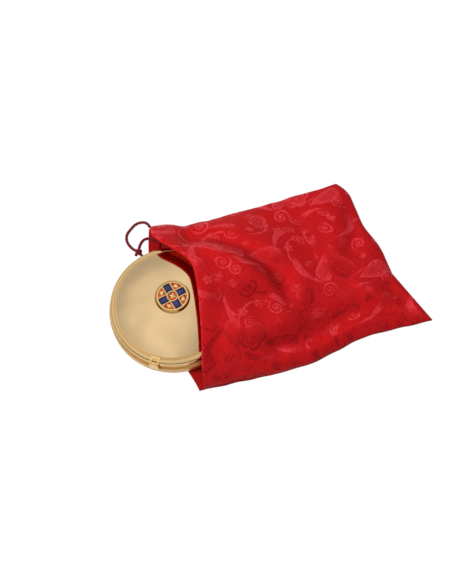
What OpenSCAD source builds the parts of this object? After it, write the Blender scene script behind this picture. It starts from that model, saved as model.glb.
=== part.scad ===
// Round hinged box with a domed lid and an enamel medallion, half drawn out of its brocade bag.
// Millimetres, Z up. The origin lies on the table under the box's axis, with the clasp towards -Y.

/* [Base] */
// Outer radius of the base
base_r = 39; // [34:0.5:46]
// Height of the base from its foot to the parting line
base_h = 7; // [6.4:0.1:12]
// Thickness of the spun metal of base and lid
sheet = 0.9; // [0.7:0.05:1.2]
// Rounding of the lower edge of the base
base_edge_r = 2.4; // [1.5:0.1:3]
// Wall of the collar that the lid closes over
collar_wall = 0.8; // [0.6:0.05:1.2]
// Height of the collar above the parting line
collar_rise = 3.6; // [3.4:0.1:5]
// Depth of the collar below the parting line
collar_drop = 3; // [2:0.1:3.6]

/* [Lid] */
// How far the base stands out past the lid
lid_step = 1; // [0.4:0.1:2]
// Height of the lid band from the parting line to its ledge
band_h = 7; // [6.8:0.1:10]
// Rounding of the upper edge of the lid band
band_edge_r = 2; // [1.5:0.1:2.4]
// Width of the ledge from the dome to the outside of the band
ledge_w = 3.8; // [3.6:0.1:5]
// Width of the ledge that runs on under the dome
dome_seat = 1.8; // [1.2:0.1:3]
// Height of the upright edge of the dome
dome_lip = 1; // [0.6:0.1:2]
// Rise of the dome above its upright edge
dome_rise = 9.8; // [7:0.1:14]
// Radius of the turned line on the ledge and of the one on the band
line_r = 0.25; // [0.1:0.05:0.4]
// Distance of the turned lines from the edges that they follow
line_inset = 1; // [0.6:0.1:1.4]

/* [Medallion] */
// Radius of the medallion plate
plate_r = 9.1; // [8.8:0.1:10]
// Thickness of the medallion plate
plate_t = 1; // [0.9:0.1:2]
// Width of the bezel round the plate
bezel_w = 1.2; // [1:0.1:2.5]
// Height of the bezel above the plate
bezel_lip = 0.3; // [0.2:0.1:1]
// Flat top of the bezel
bezel_flat = 0.5; // [0.3:0.1:0.8]
// Upright foot of the bezel above the dome
bezel_foot = 0.6; // [0.4:0.1:1]
// Outer radius of the enamel cells
cell_r = 8.4; // [7.8:0.1:8.5]
// Depth of the enamel cells
cell_depth = 0.5; // [0.4:0.05:0.6]
// How far the enamel lies below its cell walls
enamel_dip = 0.08; // [0.02:0.02:0.2]
// Thickness of the cell walls
cell_wall = 0.5; // [0.3:0.05:0.7]
// Radius of the round cell in the middle
hub_r = 2.8; // [2.4:0.1:3.4]
// Width of the four blue fields
arm_w = 4.4; // [3.8:0.1:4.8]
// Distance of the leaf motifs from the middle
leaf_at = 6.3; // [6:0.1:6.6]
// Radius of each lobe of a leaf motif
leaf_lobe_r = 0.6; // [0.4:0.05:0.7]
// Length of the arms of the cross in the middle
cross_l = 3.6; // [2.8:0.1:4]
// Width of the arms of the cross in the middle
cross_w = 0.8; // [0.5:0.1:1.2]

/* [Hinge] */
// Diameter of the hinge pin
hinge_pin_d = 1.2; // [0.8:0.1:1.6]
// Outer diameter of the hinge knuckles
hinge_knuckle_d = 3; // [2.6:0.1:3.4]
// Width of the hinge
hinge_w = 14; // [10:0.5:20]
// Width of the middle knuckle, which belongs to the lid
hinge_mid_w = 4.6; // [3.6:0.1:6]
// Thickness of the hinge leaves
hinge_leaf_t = 0.9; // [0.7:0.1:1.1]
// How far the pin stands out past both ends of the hinge
hinge_pin_end = 0.4; // [0.2:0.1:1]

/* [Clasp] */
// Width of the clasp
clasp_w = 5.4; // [4.8:0.1:7]
// Diameter of the clasp pin
clasp_pin_d = 0.9; // [0.7:0.05:1]
// Outer diameter of the clasp knuckle and of its ears
clasp_knuckle_d = 2; // [1.8:0.05:2.2]
// Width of each ear of the clasp bracket
clasp_ear_w = 1; // [0.8:0.1:1.2]
// How far the clasp pin stands out from the lid band
clasp_stand = 0.8; // [0.7:0.05:1]
// Thickness of the clasp flap
flap_t = 0.9; // [0.7:0.05:1]
// Thickness of the bracket's plate on the ledge
bracket_t = 0.7; // [0.5:0.1:1]
// Width of the hook on the clasp flap
hook_w = 2.6; // [2:0.1:3.2]
// Height of the hook on the clasp flap
hook_h = 0.9; // [0.7:0.1:1.2]
// Height of the hook above the parting line
hook_rise = 0.8; // [0.6:0.1:1]
// How far the hook reaches into the collar
hook_bite = 0.5; // [0.3:0.1:0.6]

/* [Bag] */
// Angle of the bag's length to the box's hinge
bag_turn = 33; // [20:1:45]
// Length of the bag, without the ear at its near end corner
bag_l = 131.5; // [120:0.5:160]
// Width of the bag
bag_w = 112; // [106:1:126]
// How far the mouth's middle lies to the far side of the box's axis
bag_shift = 4.5; // [0:0.5:7]
// How far the bag's length drifts back to the near side
bag_drift = 4; // [0:0.5:8]
// How far the far seam runs in from the mouth's far corner
far_taper = 4; // [0:0.5:6]
// Distance of the mouth's corners from the box's axis
mouth_at = 4.5; // [2:0.5:6]
// How far the lower mouth reaches forward in the middle
lower_reach = 9.5; // [4:0.5:12]
// How far the upper mouth is drawn back at its crest
upper_draw = 14.7; // [13:0.1:18]
// Room between the dome and the crest of the upper mouth
bag_ease = 2.2; // [2:0.1:6]
// Height of the room inside the bag's flat end
tail_h = 9; // [7:0.5:16]
// How far the far half of the end lies back from the near half
end_skew = 5; // [0:0.5:10]
// How far the near end corner stands out as an ear
ear_l = 10.5; // [4:0.5:14]
// Rounding of the far end corner
end_round = 7; // [0:0.5:10]
// Thickness of the lined cloth
cloth_t = 0.6; // [0.4:0.05:0.9]
// Wall of the cord casings
casing_wall = 0.4; // [0.3:0.05:0.6]
// Width of the lower casing, pressed flat under the box
flat_w = 4.4; // [4:0.1:6]
// Height of the cord where the lower casing presses it flat
flat_cord_h = 0.6; // [0.4:0.05:0.9]
// Width of the cord where the lower casing presses it flat
flat_cord_w = 3; // [2.4:0.1:3.2]

/* [Bag folds] */
// Depth of the long fold from the mouth's far side to the middle of the bag
long_fold = 5.2; // [0:0.1:6]
// Height of the ridge along the near side of the long fold
long_ridge = 2.4; // [0:0.1:3]
// Depth of the fold along the middle of the bag
mid_fold = 3.2; // [0:0.1:4]
// Height of the ridge along the near seam
near_ridge = 2.4; // [0:0.1:3]
// Depth of the fold that runs inside the near seam
near_fold = 3.6; // [0:0.1:4]
// Depth of the fold beside the far end corner
end_fold = 3.4; // [0:0.1:4]
// Half width of the folds
fold_w = 7; // [6:0.5:9]
// How far the mouth's middle stands off the dome
mouth_lift = 4; // [0:0.5:5]

/* [Cord] */
// Diameter of the drawcord
cord_d = 1.8; // [1.2:0.1:2.2]
// Diameter of the knot
knot_d = 4.4; // [4:0.1:6]

/* [Clearances] */
// Gap at the parting line
part_gap = 0.1; // [0.05:0.05:0.2]
// Gap between the collar and the inside of the lid
collar_gap = 0.1; // [0.05:0.05:0.2]
// Gap at soldered seats
seat_gap = 0.03; // [0.01:0.01:0.05]
// Gap round the hinge pin and the clasp pin
pin_gap = 0.05; // [0.02:0.01:0.08]
// Gap between neighbouring knuckles
knuckle_gap = 0.15; // [0.1:0.05:0.3]
// Gap round the clasp hook in its openings
hook_gap = 0.4; // [0.3:0.05:0.5]
// Gap between pieces that pass each other
pass_gap = 0.3; // [0.2:0.05:0.4]
// Gap between the cord and the inside of its casings
cord_gap = 0.1; // [0.05:0.05:0.2]

/* [Hidden] */
$fn = 96;

gold = [0.86, 0.72, 0.5];
pale_gold = [0.95, 0.84, 0.62];
blue = [0.2, 0.2, 0.45];
orange = [0.8, 0.3, 0.1];
brocade = [0.74, 0.1, 0.1];
burgundy = [0.42, 0.04, 0.08];

// Steps of the rounded edges in the turned profiles
edge_steps = 10;
// Facets round the dome's ball
ball_fn = 300;
// A small overlap that keeps cuts open and unions whole
over = 0.5;

// Heights from the table upwards
flat_h = flat_cord_h + 2 * cord_gap + 2 * casing_wall;
foot_z = flat_h + pass_gap;
part_z = foot_z + base_h;
band_z = part_z + part_gap;
ledge_z = band_z + band_h;
lip_z = ledge_z + dome_lip;
crown_z = lip_z + dome_rise;

// Radii of the box
lid_r = base_r - lid_step;
dome_r = lid_r - ledge_w;
collar_r = lid_r - sheet - collar_gap;
dome_ball_r = (dome_r * dome_r + dome_rise * dome_rise) / (2 * dome_rise);
dome_ball_z = crown_z - dome_ball_r;

// Medallion on the crown of the dome
plate_z = crown_z + seat_gap;
cell_z = plate_z + plate_t - cell_depth;
bezel_in_r = plate_r + seat_gap;
bezel_r = bezel_in_r + bezel_w;
bezel_foot_z = dome_ball_z + sqrt(dome_ball_r * dome_ball_r - bezel_r * bezel_r);
bezel_top_z = plate_z + plate_t + bezel_lip;

// Hinge axis behind the box
hinge_y = base_r + hinge_knuckle_d / 2 + pass_gap;
hinge_z = part_z + part_gap / 2;
hinge_side_w = (hinge_w - hinge_mid_w) / 2 - knuckle_gap;
base_leaf_z = foot_z + base_edge_r;
base_leaf_top = hinge_z - hinge_knuckle_d / 2 - pass_gap;
lid_leaf_top = ledge_z - band_edge_r;

// Clasp axis in front of the lid's shoulder
clasp_y = lid_r + clasp_stand;
clasp_z = ledge_z;
clasp_face_y = clasp_y + clasp_knuckle_d / 2;
clasp_mid_w = clasp_w - 2 * clasp_ear_w - 2 * knuckle_gap;
flap_top = clasp_z - clasp_knuckle_d / 2 - knuckle_gap;
flap_low = band_z + pass_gap;
hook_z = part_z + hook_rise;
hook_tip_y = collar_r - hook_bite;
hook_slot_w = hook_w + 2 * hook_gap;
hook_slot_top = hook_z + hook_h + hook_gap;

// The bag: u runs from its mouth to its end, q crosses it from -1 at the near side to 1 at the far side
bag_steps_u = 22;
bag_steps_q = 22;
// Exponents of the bag's arch across its width, and of the curve of its upper mouth
arch_power = 2.4;
arch_round = 0.6;
draw_power = 1.5;
// Where the mouth's crest lies across the bag, and how its far side falls
crest_at = 0.16;
crest_run = 0.62;
far_fall = 1.12;
// Shares of the length where the height starts and stops to fall, and where the end closes
fall_from = 0.12;
fall_to = 0.75;
// Share of the width over which the far end corner is rounded
round_share = 0.25;
// Share of the half width that the ear takes, and where the end steps back across the bag
ear_share = 0.65;
skew_from = 0.1;
skew_run = 0.5;
// Share of the length over which the bag drifts, and over which the far seam runs in
drift_share = 0.3;
taper_share = 0.2;
taper_early = 0.7;
taper_late = 0.4;

// Lines of the folds, as shares of the bag's length and of its half width
long_line = [[0.12, 0.6], [0.24, 0.53], [0.35, 0.33], [0.42, 0.1], [0.48, -0.15]];
long_ridge_line = [[0.18, 0.35], [0.29, 0.17], [0.35, -0.05], [0.42, -0.3]];
mid_line = [[0.17, -0.24], [0.32, -0.3], [0.45, -0.33]];
near_ridge_line = [[0.15, -0.67], [0.32, -0.72], [0.44, -0.62]];
near_line = [[0.35, -0.81], [0.47, -0.83], [0.66, -0.75], [0.8, -0.69], [0.98, -0.79]];
end_line = [[0.94, 0.53], [0.91, 0.22], [0.85, 0.03]];
// How soon the folds fade in from the side seams, from the closed end and from the mouth
side_fade = 1.6;
end_fade = 3;
mouth_fade = 0.16;
// Where the lift of the mouth lies across the bag, how wide it is and how far along it fades
lift_at = -0.1;
lift_half = 0.5;
lift_share = 0.3;

// Height of the room inside the mouth, over the dome
mouth_r = mouth_at + upper_draw;
mouth_h = dome_ball_z + sqrt(dome_ball_r * dome_ball_r - mouth_r * mouth_r) + bag_ease - cloth_t;

function blend(t) = let (k = min(1, max(0, t))) k * k * (3 - 2 * k);
function arch(q) = pow(max(0, 1 - pow(abs(q), arch_power)), arch_round);
function bag_room(s) =
    let (end = max(0, (s - fall_to) / (1 - fall_to)))
    (mouth_h + (tail_h - mouth_h) * blend((s - fall_from) / (fall_to - fall_from))) * sqrt(1 - end * end);
function mouth_fall(q) =
    q < crest_at
        ? pow((crest_at - q) / (1 + crest_at), draw_power)
        : far_fall * blend((q - crest_at) / crest_run);
function upper_mouth(q) = mouth_at + upper_draw * (1 - mouth_fall(q));
function lower_mouth(q) = mouth_at - lower_reach * (1 - q * q);
function bag_end(q) =
    let (corner = max(0, (q - 1 + round_share) / round_share), ear = max(0, (ear_share - 1 - q) / ear_share))
    mouth_at + bag_l + ear_l * ear
        - end_skew * blend((q + skew_from) / skew_run) - end_round * corner * corner;
function taper(s) = far_taper * (taper_early * blend(s / taper_share) + taper_late * s);
function across(s, q) =
    bag_shift + q * bag_w / 2 - bag_drift * blend(s / drift_share) * (1 - s) - taper(s) * max(0, q);
function lower_at(s, q) = [lower_mouth(q) + (bag_end(q) - lower_mouth(q)) * s, across(s, q)];

// Relief of the upper panel: folds along lines on the bag's plan, and the lift of its mouth
function plan(share) = [mouth_at + bag_l * share[0], bag_shift + bag_w / 2 * share[1]];
function off_stretch(place, from, to) =
    let (run = to - from, part = min(1, max(0, (place - from) * run / (run * run))))
    norm(place - from - part * run);
function off_line(place, line) =
    min([for (i = [0 : len(line) - 2]) off_stretch(place, plan(line[i]), plan(line[i + 1]))]);
function fold(place, line, height) = height * exp(-pow(off_line(place, line) / fold_w, 2));
function fold_sum(place) =
    fold(place, long_line, -long_fold) + fold(place, long_ridge_line, long_ridge)
        + fold(place, mid_line, -mid_fold) + fold(place, near_ridge_line, near_ridge)
        + fold(place, near_line, -near_fold) + fold(place, end_line, -end_fold);
function fold_share(s, q) =
    min(1, side_fade * arch(q)) * min(1, end_fade * sqrt(1 - s)) * blend(s / mouth_fade);
function mouth_rise(s, q) =
    mouth_lift * exp(-pow((q - lift_at) / lift_half, 2)) * arch(q) * (1 - blend(s / lift_share));
function upper_at(s, q, lift) =
    let (u = upper_mouth(q) + (bag_end(q) - upper_mouth(q)) * s, v = across(s, q))
    [
        u,
        v,
        cloth_t + lift + bag_room(s) * arch(q) + fold_share(s, q) * fold_sum([u, v]) + mouth_rise(s, q)
    ];

// Casing and cord sections
round_r = cord_d / 2 + cord_gap + casing_wall;
round_hole_r = cord_d / 2 + cord_gap;
casing_share = 0.95;
casing_rings = 25;
tube_sides = 8;

function casing_q(i) = casing_share * (2 * i / (casing_rings - 1) - 1);
function upper_casing_at(q) =
    upper_at(0, q, round_r) - [round_r + seat_gap, 0, 0];
function lower_casing_at(q) = [lower_mouth(q) - flat_w / 2 - seat_gap, across(0, q), flat_h / 2];
upper_casing_path = [for (i = [0 : casing_rings - 1]) upper_casing_at(casing_q(i))];
lower_casing_path = [for (i = [0 : casing_rings - 1]) lower_casing_at(casing_q(i))];

// Free stretches of the cord, from the casings' far ends to the knot
loop_route = [
    [-31, 49, 8.5], [-34, 51.5, 7], [-38, 52.5, 4.5], [-42, 51, 2], [-44, 47.5, 1], [-45, 44, 1],
    [-44.5, 40.5, 1], [-43, 38, 1], [-40, 35.5, 1], [-37, 34, 1.5], [-34, 33, 2.5]
];
strand_route = [
    [-12, 43, 1.6], [-16.5, 43.5, 1.6], [-21, 44, 1.6], [-25, 44, 1.8], [-28, 43.5, 2.4],
    [-30.5, 43.5, 2.8], [-33, 42, 2.8], [-34.5, 39, 1.8], [-34.5, 36, 1.8], [-34, 33, 2.5]
];
knot_at = [-34, 33, 2.5];

// A turned profile's rounded corner
function edge_arc(r, z, radius, from, to) =
    [for (i = [0 : edge_steps])
        let (a = from + (to - from) * i / edge_steps) [r + radius * cos(a), z + radius * sin(a)]];

// Points of one ring of a tube, flat across its path
function unit(v) = v / norm(v);
function heading(path, i) = unit(path[min(i + 1, len(path) - 1)] - path[max(i - 1, 0)]);
function ring(path, i, half_w, half_h) =
    let (ahead = heading(path, i), side = unit(cross(ahead, [0, 0, 1])), up = cross(side, ahead))
    [for (k = [0 : tube_sides - 1])
        let (a = 360 * (k + 0.5) / tube_sides) path[i] + side * half_w * cos(a) + up * half_h * sin(a)];

// Triangles between two rows of points, wrapped round when closed
function strip(first, second, count, closed) =
    [for (k = [0 : count - (closed ? 1 : 2)]) let (n = (k + 1) % count)
        each [[first + k, second + n, first + n], [first + k, second + k, second + n]]];
function turned(faces) = [for (f = faces) [f[0], f[2], f[1]]];
function fan(first, count) = [for (k = [1 : count - 2]) [first, first + k, first + k + 1]];

module tube(path, half_w, half_h) {
    rings = len(path);
    points = [for (i = [0 : rings - 1]) each ring(path, i, half_w, half_h)];
    sides = [for (i = [0 : rings - 2]) each strip(i * tube_sides, (i + 1) * tube_sides, tube_sides, true)];
    caps = concat(fan(0, tube_sides), turned(fan((rings - 1) * tube_sides, tube_sides)));
    polyhedron(points, concat(sides, caps));
}

// A tube with a channel along its middle
module casing(path, half_w, half_h, hole_w, hole_h) {
    rings = len(path);
    inner = rings * tube_sides;
    last = (rings - 1) * tube_sides;
    points = concat(
        [for (i = [0 : rings - 1]) each ring(path, i, half_w, half_h)],
        [for (i = [0 : rings - 1]) each ring(path, i, hole_w, hole_h)]
    );
    outside = [for (i = [0 : rings - 2]) each strip(i * tube_sides, (i + 1) * tube_sides, tube_sides, true)];
    inside = [for (i = [0 : rings - 2])
        each turned(strip(inner + i * tube_sides, inner + (i + 1) * tube_sides, tube_sides, true))];
    near_end = turned(strip(0, inner, tube_sides, true));
    far_end = strip(last, inner + last, tube_sides, true);
    polyhedron(points, concat(outside, inside, near_end, far_end));
}

module in_bag() {
    rotate([0, 0, bag_turn])
        children();
}

module cross_cylinder(y, z, d, w) {
    translate([-w / 2, y, z])
        rotate([0, 90, 0])
            cylinder(d = d, h = w);
}

// A block given by its middle in X and by its faces in Y and Z
module block(w, y0, y1, z0, z1) {
    translate([-w / 2, y0, z0])
        cube([w, y1 - y0, z1 - z0]);
}

module ring_2d(inside, outside) {
    difference() {
        circle(r = outside);
        circle(r = inside);
    }
}

// Base

module base_bowl() {
    color(gold)
        rotate_extrude()
            polygon(concat(
                [[0, foot_z]],
                edge_arc(base_r - base_edge_r, foot_z + base_edge_r, base_edge_r, -90, 0),
                [[base_r, part_z], [base_r - sheet, part_z]],
                edge_arc(base_r - base_edge_r, foot_z + base_edge_r, base_edge_r - sheet, 0, -90),
                [[0, foot_z + sheet]]
            ));
}

module base_collar() {
    low_z = part_z - collar_drop;
    top_z = part_z + collar_rise;
    in_r = collar_r - collar_wall;
    color(pale_gold)
        difference() {
            rotate_extrude()
                polygon([
                    [in_r, low_z], [base_r - sheet - seat_gap, low_z], [base_r - sheet - seat_gap, part_z],
                    [collar_r, part_z], [collar_r, top_z], [in_r, top_z]
                ]);
            block(hook_slot_w, -base_r, 0, hook_z - hook_gap, hook_slot_top);
        }
}

module base_hinge_leaf() {
    color(gold)
        difference() {
            union() {
                block(hinge_w, 0, base_r + hinge_leaf_t, base_leaf_z, base_leaf_top);
                for (side = [-1, 1])
                    translate([side * (hinge_w - hinge_side_w) / 2, 0, 0]) {
                        cross_cylinder(hinge_y, hinge_z, hinge_knuckle_d, hinge_side_w);
                        block(hinge_side_w, 0, hinge_y, base_leaf_z, hinge_z);
                    }
            }
            cylinder(r = base_r + seat_gap, h = 2 * part_z);
            cross_cylinder(hinge_y, hinge_z, hinge_pin_d + 2 * pin_gap, hinge_w + 2 * over);
        }
}

module hinge_pin() {
    color(pale_gold)
        cross_cylinder(hinge_y, hinge_z, hinge_pin_d, hinge_w + 2 * hinge_pin_end);
}

// Lid

// The band's outside as a solid, from its lower edge to its ledge
module band_solid() {
    rotate_extrude()
        polygon(concat(
            [[0, band_z], [lid_r, band_z]],
            edge_arc(lid_r - band_edge_r, ledge_z - band_edge_r, band_edge_r, 0, 90),
            [[0, ledge_z]]
        ));
}

module band_hollow() {
    top_z = ledge_z - sheet;
    rotate_extrude()
        polygon(concat(
            [[0, band_z - over], [lid_r - sheet, band_z - over]],
            edge_arc(lid_r - band_edge_r, ledge_z - band_edge_r, band_edge_r - sheet, 0, 90),
            [[0, top_z]]
        ));
}

module turned_line(r, z) {
    rotate_extrude()
        translate([r, z])
            circle(r = line_r);
}

module lid_band() {
    color(gold)
        difference() {
            band_solid();
            band_hollow();
            cylinder(r = dome_r - dome_seat, h = 2 * ledge_z);
            turned_line(dome_r + line_inset, ledge_z);
            turned_line(lid_r, ledge_z - band_edge_r - line_inset);
            block(hook_slot_w, -base_r, 0, band_z - over, hook_slot_top);
        }
}

module dome_ball(radius) {
    translate([0, 0, dome_ball_z])
        sphere(r = radius, $fn = ball_fn);
}

module lid_dome() {
    color(gold)
        difference() {
            intersection() {
                translate([0, 0, ledge_z])
                    cylinder(r = dome_r, h = dome_lip + dome_rise + over);
                dome_ball(dome_ball_r);
            }
            intersection() {
                translate([0, 0, ledge_z - over])
                    cylinder(r = dome_r - sheet, h = dome_lip + dome_rise + over);
                dome_ball(dome_ball_r - sheet);
            }
        }
}

module lid_hinge_leaf() {
    knuckle_top = hinge_z + hinge_knuckle_d / 2;
    color(gold)
        difference() {
            union() {
                block(hinge_mid_w, 0, lid_r + hinge_leaf_t, knuckle_top - hinge_leaf_t, lid_leaf_top);
                block(hinge_mid_w, 0, hinge_y, knuckle_top - hinge_leaf_t, knuckle_top);
                cross_cylinder(hinge_y, hinge_z, hinge_knuckle_d, hinge_mid_w);
            }
            cylinder(r = lid_r + seat_gap, h = 2 * ledge_z);
            cross_cylinder(hinge_y, hinge_z, hinge_pin_d + 2 * pin_gap, hinge_w);
        }
}

// Medallion

module arms_2d(w) {
    for (a = [45, 135])
        rotate(a)
            square([2 * plate_r, w], center = true);
}

// A three-lobed leaf on a short stalk, drawn larger by a gap
module leaf_2d(gap) {
    lobe_step = leaf_lobe_r * 1.2;
    translate([leaf_at, 0]) {
        for (place = [[lobe_step, 0], [0, lobe_step], [0, -lobe_step]])
            translate(place)
                circle(r = leaf_lobe_r + gap);
        square([2 * lobe_step + 2 * gap, leaf_lobe_r + 2 * gap], center = true);
    }
}

module cross_2d(gap) {
    for (a = [0, 90])
        rotate(a)
            square([cross_l + 2 * gap, cross_w + 2 * gap], center = true);
}

module blue_2d(gap) {
    intersection() {
        ring_2d(hub_r + cell_wall + gap, cell_r - gap);
        arms_2d(arm_w - 2 * gap);
    }
}

module orange_2d(gap) {
    difference() {
        ring_2d(hub_r + cell_wall + gap, cell_r - gap);
        arms_2d(arm_w + 2 * cell_wall + 2 * gap);
        for (a = [0 : 90 : 270])
            rotate(a)
                leaf_2d(gap);
    }
}

module hub_2d(gap) {
    difference() {
        circle(r = hub_r - gap);
        cross_2d(gap);
    }
}

module enamel() {
    translate([0, 0, cell_z + seat_gap])
        linear_extrude(cell_depth - enamel_dip - seat_gap)
            children();
}

module medallion_bezel() {
    color(pale_gold)
        difference() {
            rotate_extrude()
                polygon([
                    [bezel_in_r, bezel_foot_z - over], [bezel_r, bezel_foot_z - over],
                    [bezel_r, bezel_foot_z + bezel_foot], [bezel_in_r + bezel_flat, bezel_top_z],
                    [bezel_in_r, bezel_top_z]
                ]);
            dome_ball(dome_ball_r + seat_gap);
        }
}

module medallion_plate() {
    color(pale_gold)
        difference() {
            translate([0, 0, plate_z])
                cylinder(r = plate_r, h = plate_t);
            translate([0, 0, cell_z])
                linear_extrude(cell_depth + over) {
                    blue_2d(0);
                    orange_2d(0);
                    hub_2d(0);
                }
        }
}

module blue_enamel() {
    color(blue)
        enamel()
            blue_2d(seat_gap);
}

module orange_enamel() {
    color(orange)
        enamel()
            orange_2d(seat_gap);
}

module hub_enamel() {
    color(orange)
        enamel()
            hub_2d(seat_gap);
}

// Clasp

module clasp_bracket() {
    back_y = dome_r + pass_gap;
    front_y = lid_r - band_edge_r;
    ear_low = clasp_z - clasp_knuckle_d / 2;
    color(pale_gold)
        difference() {
            union() {
                block(clasp_w, -front_y, -back_y, ledge_z, ledge_z + bracket_t);
                for (side = [-1, 1])
                    translate([side * (clasp_w - clasp_ear_w) / 2, 0, 0]) {
                        cross_cylinder(-clasp_y, clasp_z, clasp_knuckle_d, clasp_ear_w);
                        block(clasp_ear_w, -clasp_y, -back_y, ear_low, ledge_z + bracket_t);
                    }
            }
            band_solid();
            cross_cylinder(-clasp_y, clasp_z, clasp_pin_d + 2 * pin_gap, clasp_w + 2 * over);
        }
}

module clasp_pin() {
    color(pale_gold)
        cross_cylinder(-clasp_y, clasp_z, clasp_pin_d, clasp_w);
}

module clasp_flap() {
    back_y = clasp_face_y - flap_t;
    color(pale_gold)
        difference() {
            union() {
                cross_cylinder(-clasp_y, clasp_z, clasp_knuckle_d, clasp_mid_w);
                block(clasp_mid_w, -clasp_face_y, -back_y, flap_low, clasp_z);
                block(clasp_w, -clasp_face_y, -back_y, flap_low, flap_top);
                block(hook_w, -back_y - flap_t / 2, -hook_tip_y, hook_z, hook_z + hook_h);
            }
            cross_cylinder(-clasp_y, clasp_z, clasp_pin_d + 2 * pin_gap, clasp_w);
        }
}

// Bag

module bag_lower_panel() {
    near_side = [for (i = [1 : bag_steps_u - 1]) lower_at(i / bag_steps_u, -1)];
    end_side = [for (i = [0 : bag_steps_q]) lower_at(1, 2 * i / bag_steps_q - 1)];
    far_side = [for (i = [bag_steps_u - 1 : -1 : 1]) lower_at(i / bag_steps_u, 1)];
    mouth_side = [for (i = [bag_steps_q : -1 : 0]) lower_at(0, 2 * i / bag_steps_q - 1)];
    color(brocade)
        in_bag()
            linear_extrude(cloth_t)
                polygon(concat(near_side, end_side, far_side, mouth_side));
}

module bag_upper_panel() {
    row = bag_steps_q + 1;
    layer = (bag_steps_u + 1) * row;
    points = [for (lift = [seat_gap, seat_gap + cloth_t], i = [0 : bag_steps_u], j = [0 : bag_steps_q])
        upper_at(i / bag_steps_u, 2 * j / bag_steps_q - 1, lift)];
    inside = [for (i = [0 : bag_steps_u - 1]) each strip(i * row, (i + 1) * row, row, false)];
    outside = [for (i = [0 : bag_steps_u - 1])
        each turned(strip(layer + i * row, layer + (i + 1) * row, row, false))];
    mouth_edge = turned(strip(0, layer, row, false));
    end_edge = strip(layer - row, 2 * layer - row, row, false);
    near_edge = [for (i = [0 : bag_steps_u - 1]) let (a = i * row, b = a + row)
        each [[a, layer + b, b], [a, layer + a, layer + b]]];
    far_edge = [for (i = [0 : bag_steps_u - 1]) let (a = (i + 1) * row - 1, b = a + row)
        each [[a, b, layer + b], [a, layer + b, layer + a]]];
    color(brocade)
        in_bag()
            polyhedron(points, concat(inside, outside, mouth_edge, end_edge, near_edge, far_edge));
}

module bag_lower_casing() {
    color(brocade)
        in_bag()
            casing(
                lower_casing_path, flat_w / 2, flat_h / 2,
                flat_cord_w / 2 + cord_gap, flat_cord_h / 2 + cord_gap
            );
}

module bag_upper_casing() {
    color(brocade)
        in_bag()
            casing(upper_casing_path, round_r, round_r, round_hole_r, round_hole_r);
}

// Drawcord

module cord_lower_run() {
    color(burgundy)
        in_bag()
            tube(lower_casing_path, flat_cord_w / 2, flat_cord_h / 2);
}

module cord_upper_run() {
    color(burgundy)
        in_bag()
            tube(upper_casing_path, cord_d / 2, cord_d / 2);
}

module cord_loop() {
    color(burgundy)
        tube(loop_route, cord_d / 2, cord_d / 2);
}

module cord_strand() {
    color(burgundy)
        tube(strand_route, cord_d / 2, cord_d / 2);
}

module cord_knot() {
    color(burgundy)
        translate(knot_at)
            sphere(d = knot_d);
}

base_bowl();
base_collar();
base_hinge_leaf();
hinge_pin();
lid_band();
lid_dome();
lid_hinge_leaf();
medallion_bezel();
medallion_plate();
blue_enamel();
orange_enamel();
hub_enamel();
clasp_bracket();
clasp_pin();
clasp_flap();
bag_lower_panel();
bag_upper_panel();
bag_lower_casing();
bag_upper_casing();
cord_lower_run();
cord_upper_run();
cord_loop();
cord_strand();
cord_knot();
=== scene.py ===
# %% [markdown]
# A round gilt box, half drawn out of its brocade bag.
#
# The box is a spun metal case with a hinged lid, a clasp and an enamel medallion. Its bag is a
# lined drawstring pouch of red damask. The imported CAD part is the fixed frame: every metal piece
# already has its place and shape there, so this script gives the metal its finish and builds the
# soft pieces, which solids can only stand in for. All sizes are millimetres until they meet Blender.

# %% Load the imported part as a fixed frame
import math

import bmesh
import bpy
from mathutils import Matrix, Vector, noise


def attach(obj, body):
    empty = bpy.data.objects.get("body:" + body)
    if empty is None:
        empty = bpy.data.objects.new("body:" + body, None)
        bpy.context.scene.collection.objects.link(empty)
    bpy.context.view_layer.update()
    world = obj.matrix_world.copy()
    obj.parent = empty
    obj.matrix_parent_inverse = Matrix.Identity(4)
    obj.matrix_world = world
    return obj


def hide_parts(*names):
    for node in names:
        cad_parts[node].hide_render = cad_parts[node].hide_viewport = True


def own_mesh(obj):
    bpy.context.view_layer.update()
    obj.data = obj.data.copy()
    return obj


MM = 0.001
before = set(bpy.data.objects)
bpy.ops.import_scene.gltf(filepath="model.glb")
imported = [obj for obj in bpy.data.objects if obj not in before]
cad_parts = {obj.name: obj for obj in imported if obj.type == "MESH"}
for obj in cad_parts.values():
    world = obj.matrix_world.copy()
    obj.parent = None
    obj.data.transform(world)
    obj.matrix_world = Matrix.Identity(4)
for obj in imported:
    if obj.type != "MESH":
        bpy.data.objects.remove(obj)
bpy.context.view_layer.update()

# %% [markdown]
# The camera stands where the photograph was taken from. The round lid draws an ellipse, and the
# ellipse's shape gives the height of the eye over the table: about 67 degrees. A focal length
# measured in pixels becomes a lens length once the sensor's long side is taken as the picture's
# height.

# %% Camera
PHOTO_HEIGHT_PX = 584
FOCAL_PX = 807.2
SENSOR_MM = 36.0
EYE_AZIMUTH = math.radians(15.5)
EYE_ELEVATION = math.radians(66.64)
EYE_DISTANCE = 500.0
EYE_TARGET = Vector((26.19, 22.28, 0.0))
CLIP_NEAR_M, CLIP_FAR_M = 0.01, 20.0


def eye_direction(azimuth, elevation):
    return Vector((
        math.sin(azimuth) * math.cos(elevation),
        -math.cos(azimuth) * math.cos(elevation),
        math.sin(elevation),
    ))


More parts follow.
